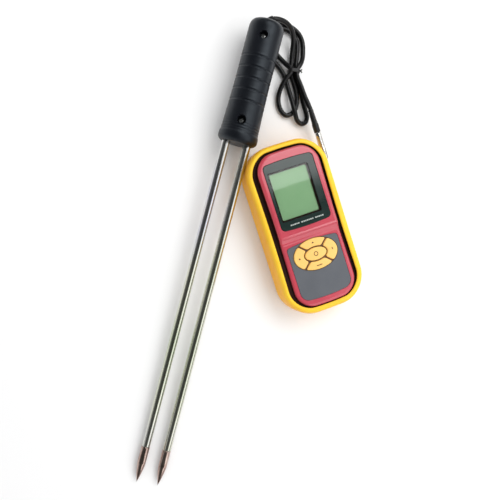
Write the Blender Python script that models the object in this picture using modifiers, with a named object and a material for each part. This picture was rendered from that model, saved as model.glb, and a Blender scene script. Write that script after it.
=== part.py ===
"""Hand-held moisture meter with a two-rod probe on a cord.

Frame: metres, +Z up.  The meter lies on its back along +Y (display end at +Y),
origin at the centre of the boot's flat back face.  The probe lies beside it,
its two rods pointing away to -X -Y, resting on its tips and on the near rim
of its handle.
"""
import math

import bmesh
import bpy
from mathutils import Matrix, Vector

# ---------------------------------------------------------------- dimensions (mm)
BOOT_HW, BOOT_HL, BOOT_R, BOOT_CROWN, BOOT_H = 40.0, 80.0, 27.0, 1.2, 31.0
CASE_HW, CASE_HL, CASE_R, CASE_CROWN, CASE_WAIST = 33.75, 76.75, 20.0, 1.8, 0.7
CASE_Z0, CASE_TOP, SPLIT_Z = 3.3, 34.0, 16.0
SHOULDER_Z = 27.0            # the lip of the boot closes over the case here
RAISED_INSET = 3.4           # the front of the case stands inside the lip
STEP_DROP, STEP_Y0, STEP_Y1 = 2.5, 0.6, -11.6   # display plateau to keypad level
WALL = 2.2
GAP = 0.3

PANEL_C, PANEL_HW, PANEL_HL, PANEL_R = (0.0, 32.8), 24.3, 31.6, 3.8
LCD_C, LCD_HW, LCD_HL = (-2.1, 32.8), 18.1, 21.5
KEYPAD_C, KEYPAD_HW, KEYPAD_HL, KEYPAD_R = (0.0, -39.4), 25.2, 26.9, 5.5
KEY_Y = -26.3
KEY_A, KEY_B = 21.5, 14.5    # outer ellipse of the key ring
KEY_CA, KEY_CB = 10.6, 5.8   # centre key
KEY_GAP = 1.2
KEY_TRAVEL = 1.0

SOCKET_Y, SOCKET_Z = 58.0, 12.0
PLUG_X, PLUG_R = 43.4, 3.1

PROBE_N = (-36.5, 91.1)      # centre of the handle's near face, seen from above
PROBE_YAW = 32.85            # clockwise from +Y, seen from above
ROD_LEN, ROD_R, ROD_PITCH, TIP_LEN = 322.0, 3.9, 19.6, 34.0
HANDLE_LEN, HANDLE_R, COLLAR_R = 114.0, 16.1, 18.3
HANDLE_ROLL = -12.0          # the handle's screws stand this far round from the rods' upright
PROBE_SIN = (COLLAR_R - 0.2 - ROD_R) / (ROD_LEN - 17.0)
CORD_R = 2.25

MM = 0.001

# ---------------------------------------------------------------- scene
for ob in list(bpy.data.objects):
    bpy.data.objects.remove(ob, do_unlink=True)


def collection(name):
    col = bpy.data.collections.new(name)
    bpy.context.scene.collection.children.link(col)
    return col


PARTS = collection("moisture_meter")
CUTTERS = collection("cutters")
CUTTERS.hide_render = True


def material(name, color, roughness, metallic=0.0):
    m = bpy.data.materials.new(name)
    m.use_nodes = True
    b = m.node_tree.nodes["Principled BSDF"]
    b.inputs["Base Color"].default_value = (*color, 1.0)
    b.inputs["Roughness"].default_value = roughness
    b.inputs["Metallic"].default_value = metallic
    return m


# ---------------------------------------------------------------- mesh helpers
def new_object(name, bm, parent=None, cutter=False):
    """Closes the working mesh and turns it into an object."""
    bmesh.ops.recalc_face_normals(bm, faces=bm.faces[:])
    mesh = bpy.data.meshes.new(name)
    bm.to_mesh(mesh)
    bm.free()
    ob = bpy.data.objects.new(name, mesh)
    (CUTTERS if cutter else PARTS).objects.link(ob)
    if cutter:
        ob.hide_render = True
        ob.display_type = "WIRE"
    if parent is not None:
        ob.parent = parent
    return ob


def finish(ob, color, roughness, metallic=0.0, smooth=35.0):
    ob.data.materials.clear()
    ob.data.materials.append(material(ob.name, color, roughness, metallic))
    ob.data.shade_smooth()
    ob.data.set_sharp_from_angle(angle=math.radians(smooth))
    return ob


def boolean(ob, cutter, operation="DIFFERENCE"):
    mod = ob.modifiers.new(cutter.name, "BOOLEAN")
    mod.operation = operation
    mod.solver = "EXACT"
    mod.object = cutter
    return mod


def outline(hw, hl, r, crown=0.0, waist=0.0, centre=(0.0, 0.0), seg=6, side=4, end=3):
    """Rounded rectangle with arched ends and slightly waisted sides."""
    r = max(r, 0.6)
    top = hl - crown
    pts = []
    corners = [(hw - r, top - r, 0.0), (-(hw - r), top - r, 90.0),
               (-(hw - r), -(top - r), 180.0), (hw - r, -(top - r), 270.0)]
    for i, (cx, cy, a0) in enumerate(corners):
        for k in range(seg + 1):
            a = math.radians(a0 + 90.0 * k / seg)
            pts.append((cx + r * math.cos(a), cy + r * math.sin(a)))
        nx, ny, na = corners[(i + 1) % 4]
        b = math.radians(na)
        start, stop = pts[-1], (nx + r * math.cos(b), ny + r * math.sin(b))
        n = end if i % 2 == 0 else side
        for k in range(1, n + 1):
            t = k / (n + 1)
            pts.append((start[0] + (stop[0] - start[0]) * t, start[1] + (stop[1] - start[1]) * t))
    out = []
    for x, y in pts:
        arch = max(0.0, 1.0 - (x / hw) ** 2)
        nip = max(0.0, 1.0 - (y / (0.72 * hl)) ** 2) ** 1.5
        y2 = y + math.copysign(crown * arch * min(1.0, (abs(y) / top) ** 6), y)
        out.append((centre[0] + x - math.copysign(waist * nip * (abs(x) / hw), x), centre[1] + y2))
    return out


def ellipse(a, b, centre, n=32):
    return [(centre[0] + a * math.cos(2 * math.pi * k / n), centre[1] + b * math.sin(2 * math.pi * k / n))
            for k in range(n)]


def loft(name, rings, parent=None, cutter=False):
    """Rings of equal point count, joined in order and capped at both ends."""
    bm = bmesh.new()
    loops = []
    for pts, z in rings:
        loops.append([bm.verts.new((x * MM, y * MM, z * MM)) for x, y in pts])
    n = len(loops[0])
    for lower, upper in zip(loops, loops[1:]):
        for k in range(n):
            j = (k + 1) % n
            bm.faces.new((lower[k], lower[j], upper[j], upper[k]))
    bm.faces.new(list(reversed(loops[0])))
    bm.faces.new(loops[-1])
    return new_object(name, bm, parent, cutter)


def case_ring(inset, grow=0.0):
    d = inset - grow
    return outline(CASE_HW - d, CASE_HL - d, CASE_R - d, CASE_CROWN, CASE_WAIST)


def boot_ring(inset):
    return outline(BOOT_HW - inset, BOOT_HL - inset, BOOT_R - inset, BOOT_CROWN)


def prism(name, pts, z0, z1, parent=None, cutter=False, round_top=0.0):
    """A flat outline: a filled curve with an extrude, made a mesh."""
    cu = bpy.data.curves.new(name, "CURVE")
    cu.dimensions = "2D"
    cu.fill_mode = "BOTH"
    cu.extrude = (z1 - z0) / 2 * MM
    sp = cu.splines.new("POLY")
    sp.points.add(len(pts) - 1)
    for p, (x, y) in zip(sp.points, pts):
        p.co = (x * MM, y * MM, 0.0, 1.0)
    sp.use_cyclic_u = True
    tmp = bpy.data.objects.new(name + "_outline", cu)
    CUTTERS.objects.link(tmp)
    bpy.context.view_layer.update()
    mesh = bpy.data.meshes.new_from_object(tmp.evaluated_get(bpy.context.evaluated_depsgraph_get()))
    bpy.data.objects.remove(tmp, do_unlink=True)
    bpy.data.curves.remove(cu)
    bm = bmesh.new()
    bm.from_mesh(mesh)
    bpy.data.meshes.remove(mesh)
    bmesh.ops.remove_doubles(bm, verts=bm.verts[:], dist=1e-6)
    bmesh.ops.translate(bm, verts=bm.verts[:], vec=(0.0, 0.0, (z0 + z1) / 2 * MM))
    bmesh.ops.dissolve_limit(bm, angle_limit=math.radians(0.5), verts=bm.verts[:], edges=bm.edges[:])
    if round_top > 0:
        rim = [e for e in bm.edges if all(v.co.z > (z1 - 0.01) * MM for v in e.verts)]
        bmesh.ops.bevel(bm, geom=rim, offset=round_top * MM, segments=2, profile=0.5, affect="EDGES")
    return new_object(name, bm, parent, cutter)


def box(name, lo, hi, parent=None, cutter=False, bevel=0.0):
    bm = bmesh.new()
    bmesh.ops.create_cube(bm, size=1.0)
    size = [(b - a) * MM for a, b in zip(lo, hi)]
    mid = [(a + b) / 2 * MM for a, b in zip(lo, hi)]
    bmesh.ops.scale(bm, verts=bm.verts[:], vec=size)
    bmesh.ops.translate(bm, verts=bm.verts[:], vec=mid)
    if bevel > 0:
        bmesh.ops.bevel(bm, geom=bm.edges[:], offset=bevel * MM, segments=1, affect="EDGES")
    return new_object(name, bm, parent, cutter)


AXES = {"X": Matrix.Rotation(math.radians(90), 4, "Y"),
        "Y": Matrix.Rotation(math.radians(-90), 4, "X"),
        "Z": Matrix.Identity(4)}


def cylinder(name, r, start, stop, at, axis, parent=None, cutter=False, seg=20, r2=None):
    """A cylinder or cone between two stations along an axis; 'at' is the other two coordinates."""
    bm = bmesh.new()
    bmesh.ops.create_cone(bm, cap_ends=True, segments=seg, radius1=r * MM,
                          radius2=(r if r2 is None else r2) * MM, depth=(stop - start) * MM)
    bmesh.ops.translate(bm, verts=bm.verts[:], vec=(0, 0, (start + stop) / 2 * MM))
    bmesh.ops.transform(bm, matrix=AXES[axis], verts=bm.verts[:])
    shift = {"X": (0, at[0], at[1]), "Y": (at[0], 0, at[1]), "Z": (at[0], at[1], 0)}[axis]
    bmesh.ops.translate(bm, verts=bm.verts[:], vec=[c * MM for c in shift])
    return new_object(name, bm, parent, cutter)


def turned(name, profile, at, axis, parent=None, cutter=False, steps=20):
    """A turned shape: a profile of (radius, station) with a Screw modifier."""
    bm = bmesh.new()
    verts = [bm.verts.new((r * MM, 0.0, h * MM)) for r, h in profile]
    for a, b in zip(verts, verts[1:]):
        bm.edges.new((a, b))
    mesh = bpy.data.meshes.new(name + "_profile")
    bm.to_mesh(mesh)
    bm.free()
    tmp = bpy.data.objects.new(name + "_profile", mesh)
    CUTTERS.objects.link(tmp)
    mod = tmp.modifiers.new("turn", "SCREW")
    mod.steps = mod.render_steps = steps
    mod.use_merge_vertices = True
    mod.merge_threshold = 0.00001
    bpy.context.view_layer.update()
    made = bpy.data.meshes.new_from_object(tmp.evaluated_get(bpy.context.evaluated_depsgraph_get()))
    bpy.data.objects.remove(tmp, do_unlink=True)
    bpy.data.meshes.remove(mesh)
    bm = bmesh.new()
    bm.from_mesh(made)
    bpy.data.meshes.remove(made)
    bmesh.ops.remove_doubles(bm, verts=bm.verts[:], dist=1e-6)
    bmesh.ops.transform(bm, matrix=AXES[axis], verts=bm.verts[:])
    shift = {"X": (0, at[0], at[1]), "Y": (at[0], 0, at[1]), "Z": (at[0], at[1], 0)}[axis]
    bmesh.ops.translate(bm, verts=bm.verts[:], vec=[c * MM for c in shift])
    return new_object(name, bm, parent, cutter)


def catmull(points, step):
    """Points along one smooth curve through the given points, about 'step' apart."""
    pts = [Vector(p) for p in points]
    ext = [pts[0] * 2 - pts[1]] + pts + [pts[-1] * 2 - pts[-2]]
    fine = []
    for i in range(1, len(ext) - 2):
        p0, p1, p2, p3 = ext[i - 1:i + 3]
        for k in range(24):
            t = k / 24
            fine.append(0.5 * ((2 * p1) + (p2 - p0) * t + (2 * p0 - 5 * p1 + 4 * p2 - p3) * t * t
                               + (3 * p1 - p0 - 3 * p2 + p3) * t ** 3))
    fine.append(pts[-1])
    total = sum((b - a).length for a, b in zip(fine, fine[1:]))
    n = max(2, round(total / step))
    out, target, run = [fine[0]], total / n, 0.0
    for a, b in zip(fine, fine[1:]):
        seg = (b - a).length
        while seg > 0 and run + seg >= target * len(out) - 1e-9 and len(out) < n:
            out.append(a.lerp(b, (target * len(out) - run) / seg))
        run += seg
    out.append(fine[-1])
    return out


def tube(name, points, r, parent=None, cutter=False):
    """A round tube along a route: a poly curve with a bevel and filled caps, made a mesh."""
    cu = bpy.data.curves.new(name, "CURVE")
    cu.dimensions = "3D"
    cu.bevel_depth = r * MM
    cu.bevel_resolution = 2
    cu.use_fill_caps = True
    cu.render_resolution_u = 0
    sp = cu.splines.new("POLY")
    sp.points.add(len(points) - 1)
    for p, c in zip(sp.points, points):
        p.co = (c[0] * MM, c[1] * MM, c[2] * MM, 1.0)
    tmp = bpy.data.objects.new(name + "_route", cu)
    CUTTERS.objects.link(tmp)
    bpy.context.view_layer.update()
    mesh = bpy.data.meshes.new_from_object(tmp.evaluated_get(bpy.context.evaluated_depsgraph_get()))
    bpy.data.objects.remove(tmp, do_unlink=True)
    bpy.data.curves.remove(cu)
    bm = bmesh.new()
    bm.from_mesh(mesh)
    bpy.data.meshes.remove(mesh)
    bmesh.ops.remove_doubles(bm, verts=bm.verts[:], dist=1e-6)
    return new_object(name, bm, parent, cutter)


def step_down(ob):
    """Lowers everything above the shoulder at the keypad end, with a short ramp between."""
    bm = bmesh.new()
    bm.from_mesh(ob.data)
    for y in (STEP_Y0, STEP_Y1):
        geom = bm.verts[:] + bm.edges[:] + bm.faces[:]
        bmesh.ops.bisect_plane(bm, geom=geom, plane_co=(0, y * MM, 0), plane_no=(0, 1, 0))
    for v in bm.verts:
        if v.co.z > (SHOULDER_Z + 0.5) * MM:
            t = min(1.0, max(0.0, (STEP_Y0 * MM - v.co.y) / ((STEP_Y0 - STEP_Y1) * MM)))
            v.co.z -= STEP_DROP * MM * t
    bm.to_mesh(ob.data)
    bm.free()
    return ob


# ================================================================ the meter's boot
YELLOW, ORANGE = (1.0, 0.62, 0.03), (0.8, 0.3, 0.02)
RED = (0.66, 0.09, 0.13)
BLACK = (0.012, 0.012, 0.014)

boot = loft("rubber_boot", [(boot_ring(4.0), 0.0), (boot_ring(1.4), 0.9), (boot_ring(0.3), 3.2),
                            (boot_ring(0.0), 8.0), (boot_ring(0.0), 22.0), (boot_ring(0.7), 26.5),
                            (boot_ring(2.0), 29.6), (boot_ring(3.8), 31.0)])
lip = outline(CASE_HW - 0.8, CASE_HL - 0.8, CASE_R - 0.8, CASE_CROWN, CASE_WAIST)
lip_top = outline(CASE_HW + 0.2, CASE_HL + 0.1, CASE_R + 0.2, CASE_CROWN, CASE_WAIST)
pocket = loft("boot_pocket", [(case_ring(0, GAP), 3.0), (case_ring(0, GAP), SHOULDER_Z + GAP),
                              (lip, SHOULDER_Z + GAP + 0.01), (lip, 29.8), (lip_top, 31.05), (lip_top, 33.0)],
              cutter=True)
boolean(boot, pocket)
boolean(boot, prism("boot_back_window", outline(22.5, 30.0, 4.0, centre=(0, -44.0), side=0, end=0, seg=3),
                    -1.0, 4.0, cutter=True))
boolean(boot, cylinder("boot_plug_hole", 4.6, 30.0, 45.0, (SOCKET_Y, SOCKET_Z), "X", cutter=True))
finish(boot, YELLOW, 0.45)

# ================================================================ the case shells
front = loft("front_case", [(case_ring(0), SPLIT_Z + GAP / 2), (case_ring(0), 25.9), (case_ring(0.9), 26.95),
                            (case_ring(RAISED_INSET), SHOULDER_Z + 0.05), (case_ring(RAISED_INSET + 0.2), 28.4),
                            (case_ring(RAISED_INSET + 0.4), 32.6), (case_ring(RAISED_INSET + 0.8), 33.5),
                            (case_ring(RAISED_INSET + 1.8), CASE_TOP)])
step_down(front)
front_pocket = loft("front_pocket", [(case_ring(WALL), 15.0), (case_ring(WALL), 24.8),
                                     (case_ring(RAISED_INSET + 1.9), 24.9),
                                     (case_ring(RAISED_INSET + 2.3), CASE_TOP - WALL)], cutter=True)
step_down(front_pocket)
boolean(front, front_pocket)
POSTS = [(-12.0, 66.0), (12.0, 66.0), (-26.3, -58.0), (26.3, -58.0)]
for i, (x, y) in enumerate(POSTS):
    top = 32.4 if y > 0 else 29.9
    boolean(front, cylinder("front_post_%d" % (i + 1), 3.2, SPLIT_Z + GAP / 2 + 0.2, top, (x, y), "Z",
                            cutter=True, seg=14), "UNION")
BOARD_POSTS = [(-24.6, -4.5), (24.6, -4.5)]
for i, (x, y) in enumerate(BOARD_POSTS):
    boolean(front, cylinder("board_post_%d" % (i + 1), 2.6, 19.5, 30.6, (x, y), "Z", cutter=True, seg=12), "UNION")
for i, (x, y) in enumerate(POSTS):
    boolean(front, cylinder("front_pilot_%d" % (i + 1), 1.6, 15.0, 27.0, (x, y), "Z", cutter=True, seg=12))
for i, (x, y) in enumerate(BOARD_POSTS):
    boolean(front, cylinder("board_pilot_%d" % (i + 1), 1.25, 19.0, 26.0, (x, y), "Z", cutter=True, seg=10))
boolean(front, prism("panel_recess", outline(PANEL_HW + GAP, PANEL_HL + GAP, PANEL_R, 1.2, 0.0, PANEL_C, seg=3,
                                             side=0, end=3), 32.6, 36.0, cutter=True))
boolean(front, prism("lcd_opening", outline(LCD_HW, LCD_HL, 1.0, 0, 0, LCD_C, seg=2, side=0, end=0), 30.0, 36.0,
                     cutter=True))
boolean(front, prism("keypad_recess", outline(KEYPAD_HW + GAP, KEYPAD_HL + GAP, KEYPAD_R, 2.0, 0.0, KEYPAD_C,
                                              seg=3, side=0, end=3), 30.4, 36.0, cutter=True))
boolean(front, prism("key_opening", ellipse(KEY_A + 0.5, KEY_B + 0.5, (0, KEY_Y)), 27.0, 36.0, cutter=True))
finish(front, RED, 0.3)

rear = loft("rear_case", [(case_ring(2.4), CASE_Z0), (case_ring(0.9), 3.9), (case_ring(0), 6.2),
                          (case_ring(0), SPLIT_Z - GAP / 2)])
boolean(rear, loft("rear_pocket", [(case_ring(WALL), CASE_Z0 + WALL), (case_ring(WALL), 20.0)], cutter=True))
boolean(rear, box("bay_block", (-20.4, -70.2, 4.4), (20.4, -18.4, 17.2), cutter=True), "UNION")
for i, (x, y) in enumerate(POSTS):
    boolean(rear, cylinder("rear_post_%d" % (i + 1), 4.2, 4.6, SPLIT_Z - GAP / 2 - 0.15, (x, y), "Z", cutter=True,
                           seg=14), "UNION")
boolean(rear, box("bay_hollow", (-17.2, -68.4, 2.0), (17.2, -20.4, 16.1), cutter=True))
boolean(rear, box("cover_recess", (-19.5, -71.0, 2.0), (19.5, -17.0, 5.4), cutter=True))
for i, (x, y) in enumerate(POSTS):
    boolean(rear, cylinder("rear_clear_%d" % (i + 1), 1.75, 2.0, 20.0, (x, y), "Z", cutter=True, seg=12))
    boolean(rear, cylinder("rear_counterbore_%d" % (i + 1), 2.95, 2.0, 5.6, (x, y), "Z", cutter=True, seg=14))
boolean(rear, cylinder("socket_hole", 3.7, 29.0, 36.0, (SOCKET_Y, SOCKET_Z), "X", cutter=True, seg=16))
finish(rear, RED, 0.35)

for i, (x, y) in enumerate(POSTS):
    screw = turned("case_screw_%d" % (i + 1), [(0, 24.5), (1.25, 24.0), (1.25, 5.3), (2.6, 5.3), (2.6, 4.4),
                                               (1.6, 3.6), (0, 3.6)], (x, y), "Z", steps=12)
    finish(screw, (0.55, 0.55, 0.56), 0.3, 1.0)

# ================================================================ display
bezel = prism("display_bezel", outline(PANEL_HW, PANEL_HL, PANEL_R, 1.2, 0.0, PANEL_C, seg=4, side=0, end=3),
              32.9, 34.0)
boolean(bezel, prism("window_opening", outline(LCD_HW + 1.5, LCD_HL + 1.5, 1.6, 0, 0, LCD_C, seg=3, side=0, end=0),
                     30.0, 36.0, cutter=True))
finish(bezel, (0.03, 0.045, 0.05), 0.15)
pane = prism("display_window", outline(LCD_HW + 1.2, LCD_HL + 1.2, 1.4, 0, 0, LCD_C, seg=3, side=0, end=0),
             32.9, 33.8)
finish(pane, (0.5, 0.6, 0.55), 0.05)
finish(box("lcd_glass", (LCD_C[0] - 19.4, LCD_C[1] - 22.8, 28.7), (LCD_C[0] + 19.4, LCD_C[1] + 22.8, 31.3)),
       (0.23, 0.42, 0.21), 0.2)
holder = box("lcd_holder", (LCD_C[0] - 21.4, LCD_C[1] - 24.4, 19.6), (LCD_C[0] + 21.4, LCD_C[1] + 24.4, 31.4))
boolean(holder, box("holder_seat", (LCD_C[0] - 19.8, LCD_C[1] - 23.2, 28.3), (LCD_C[0] + 19.8, LCD_C[1] + 23.2, 33),
                    cutter=True))
boolean(holder, box("holder_hole", (LCD_C[0] - 17.0, LCD_C[1] - 20.5, 19.0), (LCD_C[0] + 17.0, LCD_C[1] + 20.5, 33),
                    cutter=True))
finish(holder, (0.7, 0.7, 0.68), 0.6)
finish(box("lcd_connector", (LCD_C[0] - 15.0, LCD_C[1] - 19.6, 19.6), (LCD_C[0] + 15.0, LCD_C[1] - 17.0, 28.3)),
       (0.5, 0.25, 0.3), 0.6)

# ================================================================ circuit board and socket
board = box("main_board", (-28.3, -51.0, 17.6), (28.3, 48.0, 19.2))
for i, (x, y) in enumerate(BOARD_POSTS):
    boolean(board, cylinder("board_hole_%d" % (i + 1), 1.5, 17.0, 20.0, (x, y), "Z", cutter=True, seg=10))
finish(board, (0.02, 0.16, 0.07), 0.5)
for i, (x, y) in enumerate(BOARD_POSTS):
    screw = turned("board_screw_%d" % (i + 1), [(0, 24.5), (0.9, 24.2), (0.9, 17.3), (2.2, 17.3), (2.2, 16.6),
                                                (1.5, 16.1), (0, 16.1)], (x, y), "Z", steps=10)
    finish(screw, (0.55, 0.55, 0.56), 0.3, 1.0)
finish(box("controller_chip", (-6.0, 14.0, 15.5), (6.0, 26.0, 17.3), bevel=0.3), (0.02, 0.02, 0.022), 0.5)

socket = box("jack_socket", (17.6, SOCKET_Y - 4.6, 7.4), (29.4, SOCKET_Y + 3.9, 16.6))
boolean(socket, cylinder("socket_bush", 3.3, 29.0, 34.6, (SOCKET_Y, SOCKET_Z), "X", cutter=True, seg=16), "UNION")
boolean(socket, cylinder("socket_bore", 2.1, 19.4, 36.0, (SOCKET_Y, SOCKET_Z), "X", cutter=True, seg=16))
finish(socket, (0.03, 0.03, 0.03), 0.5)

# ================================================================ keypad
keypad = prism("keypad_panel", outline(KEYPAD_HW, KEYPAD_HL, KEYPAD_R, 2.0, 0.0, KEYPAD_C, seg=4, side=0, end=3),
               30.7, 31.6)
boolean(keypad, prism("panel_key_opening", ellipse(KEY_A + 0.5, KEY_B + 0.5, (0, KEY_Y)), 27.0, 36.0, cutter=True))
finish(keypad, (0.13, 0.14, 0.18), 0.5)
mat_pad = prism("keypad_mat", ellipse(25.0, 18.6, (0, KEY_Y), 28), 19.6, 26.6)
boolean(mat_pad, prism("mat_hollow", ellipse(23.8, 17.4, (0, KEY_Y), 28), 18.0, 25.3, cutter=True))
finish(mat_pad, (0.03, 0.03, 0.03), 0.8)

KEY_YELLOW = (0.93, 0.66, 0.2)


def key_sector(t0, t1, a_out, b_out, a_in, b_in, trim, n=10):
    """Outline of one key of the ring: outer arc one way, inner arc back."""
    pts = []
    for k in range(n + 1):
        t = math.radians(t0 + trim + (t1 - t0 - 2 * trim) * k / n)
        pts.append((a_out * math.cos(t), KEY_Y + b_out * math.sin(t)))
    trim_in = trim * 2.0
    for k in range(n + 1):
        t = math.radians(t1 - trim_in - (t1 - t0 - 2 * trim_in) * k / n)
        pts.append((a_in * math.cos(t), KEY_Y + b_in * math.sin(t)))
    return pts


SPLIT = 50.0
KEY_SPANS = {"key_right": (-SPLIT, SPLIT), "key_up": (SPLIT, 180 - SPLIT),
             "key_left": (180 - SPLIT, 180 + SPLIT), "key_down": (180 + SPLIT, 360 - SPLIT)}
KEY_TOP = 32.5
for name, (t0, t1) in KEY_SPANS.items():
    key = prism(name, key_sector(t0, t1, KEY_A, KEY_B, KEY_CA + KEY_GAP, KEY_CB + KEY_GAP, 2.4), 28.0, KEY_TOP,
                round_top=0.5)
    flange = prism(name + "_flange", key_sector(t0, t1, KEY_A + 1.4, KEY_B + 1.4, KEY_A - 2.0, KEY_B - 2.0, 3.2),
                   27.95, 29.0, cutter=True)
    boolean(key, flange, "UNION")
    finish(key, KEY_YELLOW, 0.5)
centre = prism("key_centre", ellipse(KEY_CA, KEY_CB, (0, KEY_Y), 28), 28.0, KEY_TOP, round_top=0.5)
finish(centre, KEY_YELLOW, 0.5)

# ================================================================ batteries and their cover
HINGE_Y, HINGE_Z = -69.5, 4.2
hinge = bpy.data.objects.new("battery_cover_hinge", None)
hinge.location = (0, HINGE_Y * MM, HINGE_Z * MM)
PARTS.objects.link(hinge)
profile = [(-17.3 - HINGE_Y, -0.9), (-17.3 - HINGE_Y, 0.9)]
for k in range(9):
    a = math.radians(90 + 180 * k / 8)
    profile.append((0.9 * math.cos(a), 0.9 * math.sin(a)))
cover = prism("battery_cover", profile, -19.2, 19.2, parent=hinge)
# the outline stands in the hinge's (Y, Z) plane: turn its extrude along X
cover.rotation_euler = Matrix(((0, 0, 1), (1, 0, 0), (0, 1, 0))).to_euler()
finish(cover, RED, 0.4)
for i, x in enumerate((-11.1, 0.0, 11.1)):
    flip = -1 if i == 1 else 1
    prof = [(0, 22.25), (1.9, 22.25), (1.9, 21.45), (5.0, 21.45), (5.2, 21.2), (5.2, -22.0), (5.0, -22.25),
            (0, -22.25)]
    prof = [(r, h * flip) for r, h in prof]
    if flip < 0:
        prof.reverse()
    cell = turned("battery_%d" % (i + 1), [(r, h - 44.4) for r, h in prof], (x, 10.6), "Y", steps=14)
    finish(cell, (0.06, 0.2, 0.5), 0.35, 0.3)
finish(box("battery_contact_upper", (-16.6, -21.7, 6.4), (16.6, -21.1, 14.6)), (0.7, 0.7, 0.68), 0.3, 1.0)
finish(box("battery_contact_lower", (-16.6, -67.7, 6.4), (16.6, -67.1, 14.6)), (0.7, 0.7, 0.68), 0.3, 1.0)

# ================================================================ right-angle plug on the meter's flank
barrel = turned("plug_barrel", [(0, 79.4), (2.5, 79.4), (PLUG_R, 78.7), (PLUG_R, 54.3), (2.4, 53.4), (0, 53.4)],
                (PLUG_X, SOCKET_Z), "Y", steps=20)
boolean(barrel, cylinder("plug_nose", 2.9, 35.3, PLUG_X, (SOCKET_Y, SOCKET_Z), "X", cutter=True, seg=16), "UNION")
finish(barrel, (0.75, 0.73, 0.72), 0.25, 1.0)
finish(turned("plug_pin", [(0, 35.0), (1.75, 35.0), (1.75, 24.6), (1.3, 24.0), (1.7, 23.2), (0.9, 21.2), (0, 20.8)],
              (SOCKET_Y, SOCKET_Z), "X", steps=14), (0.8, 0.78, 0.72), 0.2, 1.0)
finish(turned("plug_boot", [(0, 102.0), (2.5, 102.0), (2.75, 98.0), (3.1, 84.0), (3.1, 79.7), (0, 79.7)],
              (PLUG_X, SOCKET_Z), "Y", steps=16), BLACK, 0.4)

# ================================================================ probe, in its own frame
# local +Y runs up the handle away from the rods, local +Z is the side with the screws
tilt = math.asin(PROBE_SIN)
probe = bpy.data.objects.new("probe_frame", None)
PARTS.objects.link(probe)
probe_z = COLLAR_R * math.cos(tilt) + 0.05 - 4.0 * math.sin(tilt)
probe.matrix_world = (Matrix.Translation((PROBE_N[0] * MM, PROBE_N[1] * MM, probe_z * MM))
                      @ Matrix.Rotation(math.radians(-PROBE_YAW), 4, "Z")
                      @ Matrix.Rotation(tilt, 4, "X"))
bpy.context.view_layer.update()
PM = probe.matrix_world.copy()
grip = bpy.data.objects.new("grip_frame", None)
grip.parent = probe
grip.rotation_euler = (0.0, math.radians(HANDLE_ROLL), 0.0)
PARTS.objects.link(grip)
bpy.context.view_layer.update()


def grip_radius(h):
    """Outer radius of the handle at a distance from its near face: collar, flare, grooves."""
    r = HANDLE_R + (COLLAR_R - 0.7 - HANDLE_R) * max(0.0, (60.0 - h) / 60.0) ** 1.5
    for k in range(-2, 3):
        d = abs(h - (58.0 + 10.2 * k))
        if d < 1.6:
            r -= 0.55 * (1.0 - d / 1.6)
    return r


prof = [(0.0, HANDLE_LEN), (10.3, HANDLE_LEN), (13.1, HANDLE_LEN - 0.8), (15.2, HANDLE_LEN - 2.9),
        (HANDLE_R, HANDLE_LEN - 6.0)]
h = HANDLE_LEN - 14.0
stations = [HANDLE_LEN - 14.0]
for k in (2, 1, 0, -1, -2):
    c = 58.0 + 10.2 * k
    stations += [c + 1.6, c, c - 1.6]
stations += [28.0, 20.0, 13.0]
for s in stations:
    prof.append((grip_radius(s), s))
prof += [(grip_radius(9.6), 9.6), (COLLAR_R, 8.6), (COLLAR_R, 4.0), (16.0, 0.8), (13.8, 0.0), (0.0, 0.0)]
cavity = [(0.0, HANDLE_LEN - 2.6), (9.0, HANDLE_LEN - 2.6), (12.2, HANDLE_LEN - 5.2), (13.8, HANDLE_LEN - 10.0),
          (13.8, 3.6), (0.0, 3.6)]
SCREWS = (HANDLE_LEN - 16.6, 19.8)
half = {"handle_upper_shell": 1, "handle_lower_shell": -1}
hollow = turned("handle_hollow", cavity, (0, 0), "Y", parent=probe, cutter=True, steps=24)
rod_holes = [cylinder("rod_hole_%d" % i, ROD_R + GAP, -3.0, 6.0, (s * ROD_PITCH / 2, 0), "Y", parent=probe,
                      cutter=True) for i, s in ((1, -1), (2, 1))]
gland_hole = cylinder("gland_hole", 3.9, HANDLE_LEN - 6.0, HANDLE_LEN + 3.0, (0, 0), "Y", parent=probe, cutter=True)
for name, sign in half.items():
    shell = turned(name, prof, (0, 0), "Y", parent=grip, steps=24)
    boolean(shell, hollow)
    lo, hi = ((-30, -10, -30), (30, HANDLE_LEN + 10, GAP / 2)) if sign > 0 else \
             ((-30, -10, -GAP / 2), (30, HANDLE_LEN + 10, 30))
    boolean(shell, box(name + "_split", lo, hi, parent=grip, cutter=True))
    for i, y in enumerate(SCREWS):
        if sign > 0:
            boolean(shell, cylinder("screw_well_%d" % i, 5.2, 7.6, 15.4, (0, y), "Z", parent=grip, cutter=True,
                                    seg=18), "UNION")
            boolean(shell, cylinder("screw_counterbore_%d" % i, 3.85, 9.0, 30.0, (0, y), "Z", parent=grip,
                                    cutter=True, seg=18))
            boolean(shell, cylinder("screw_clear_%d" % i, 1.8, 0.0, 12.0, (0, y), "Z", parent=grip, cutter=True,
                                    seg=12))
        elif i == 0:
            boolean(shell, cylinder("lower_post", 3.6, -15.2, 7.2, (0, y), "Z", parent=grip, cutter=True, seg=14),
                    "UNION")
            boolean(shell, cylinder("lower_pilot", 1.8, -10.0, 9.0, (0, y), "Z", parent=grip, cutter=True, seg=12))
    for c in rod_holes:
        boolean(shell, c)
    boolean(shell, gland_hole)
    finish(shell, BLACK, 0.4)
for i, (name, y) in enumerate((("handle_screw_far", SCREWS[0]), ("handle_screw_near", SCREWS[1]))):
    screw = turned(name, [(0, 11.6), (1.8, 11.6), (3.2, 10.6), (3.2, 9.3), (1.45, 9.3), (1.45, -7.4), (0, -8.0)],
                   (0, y), "Z", parent=grip, steps=14)
    finish(screw, (0.5, 0.5, 0.5), 0.3, 1.0)

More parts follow.
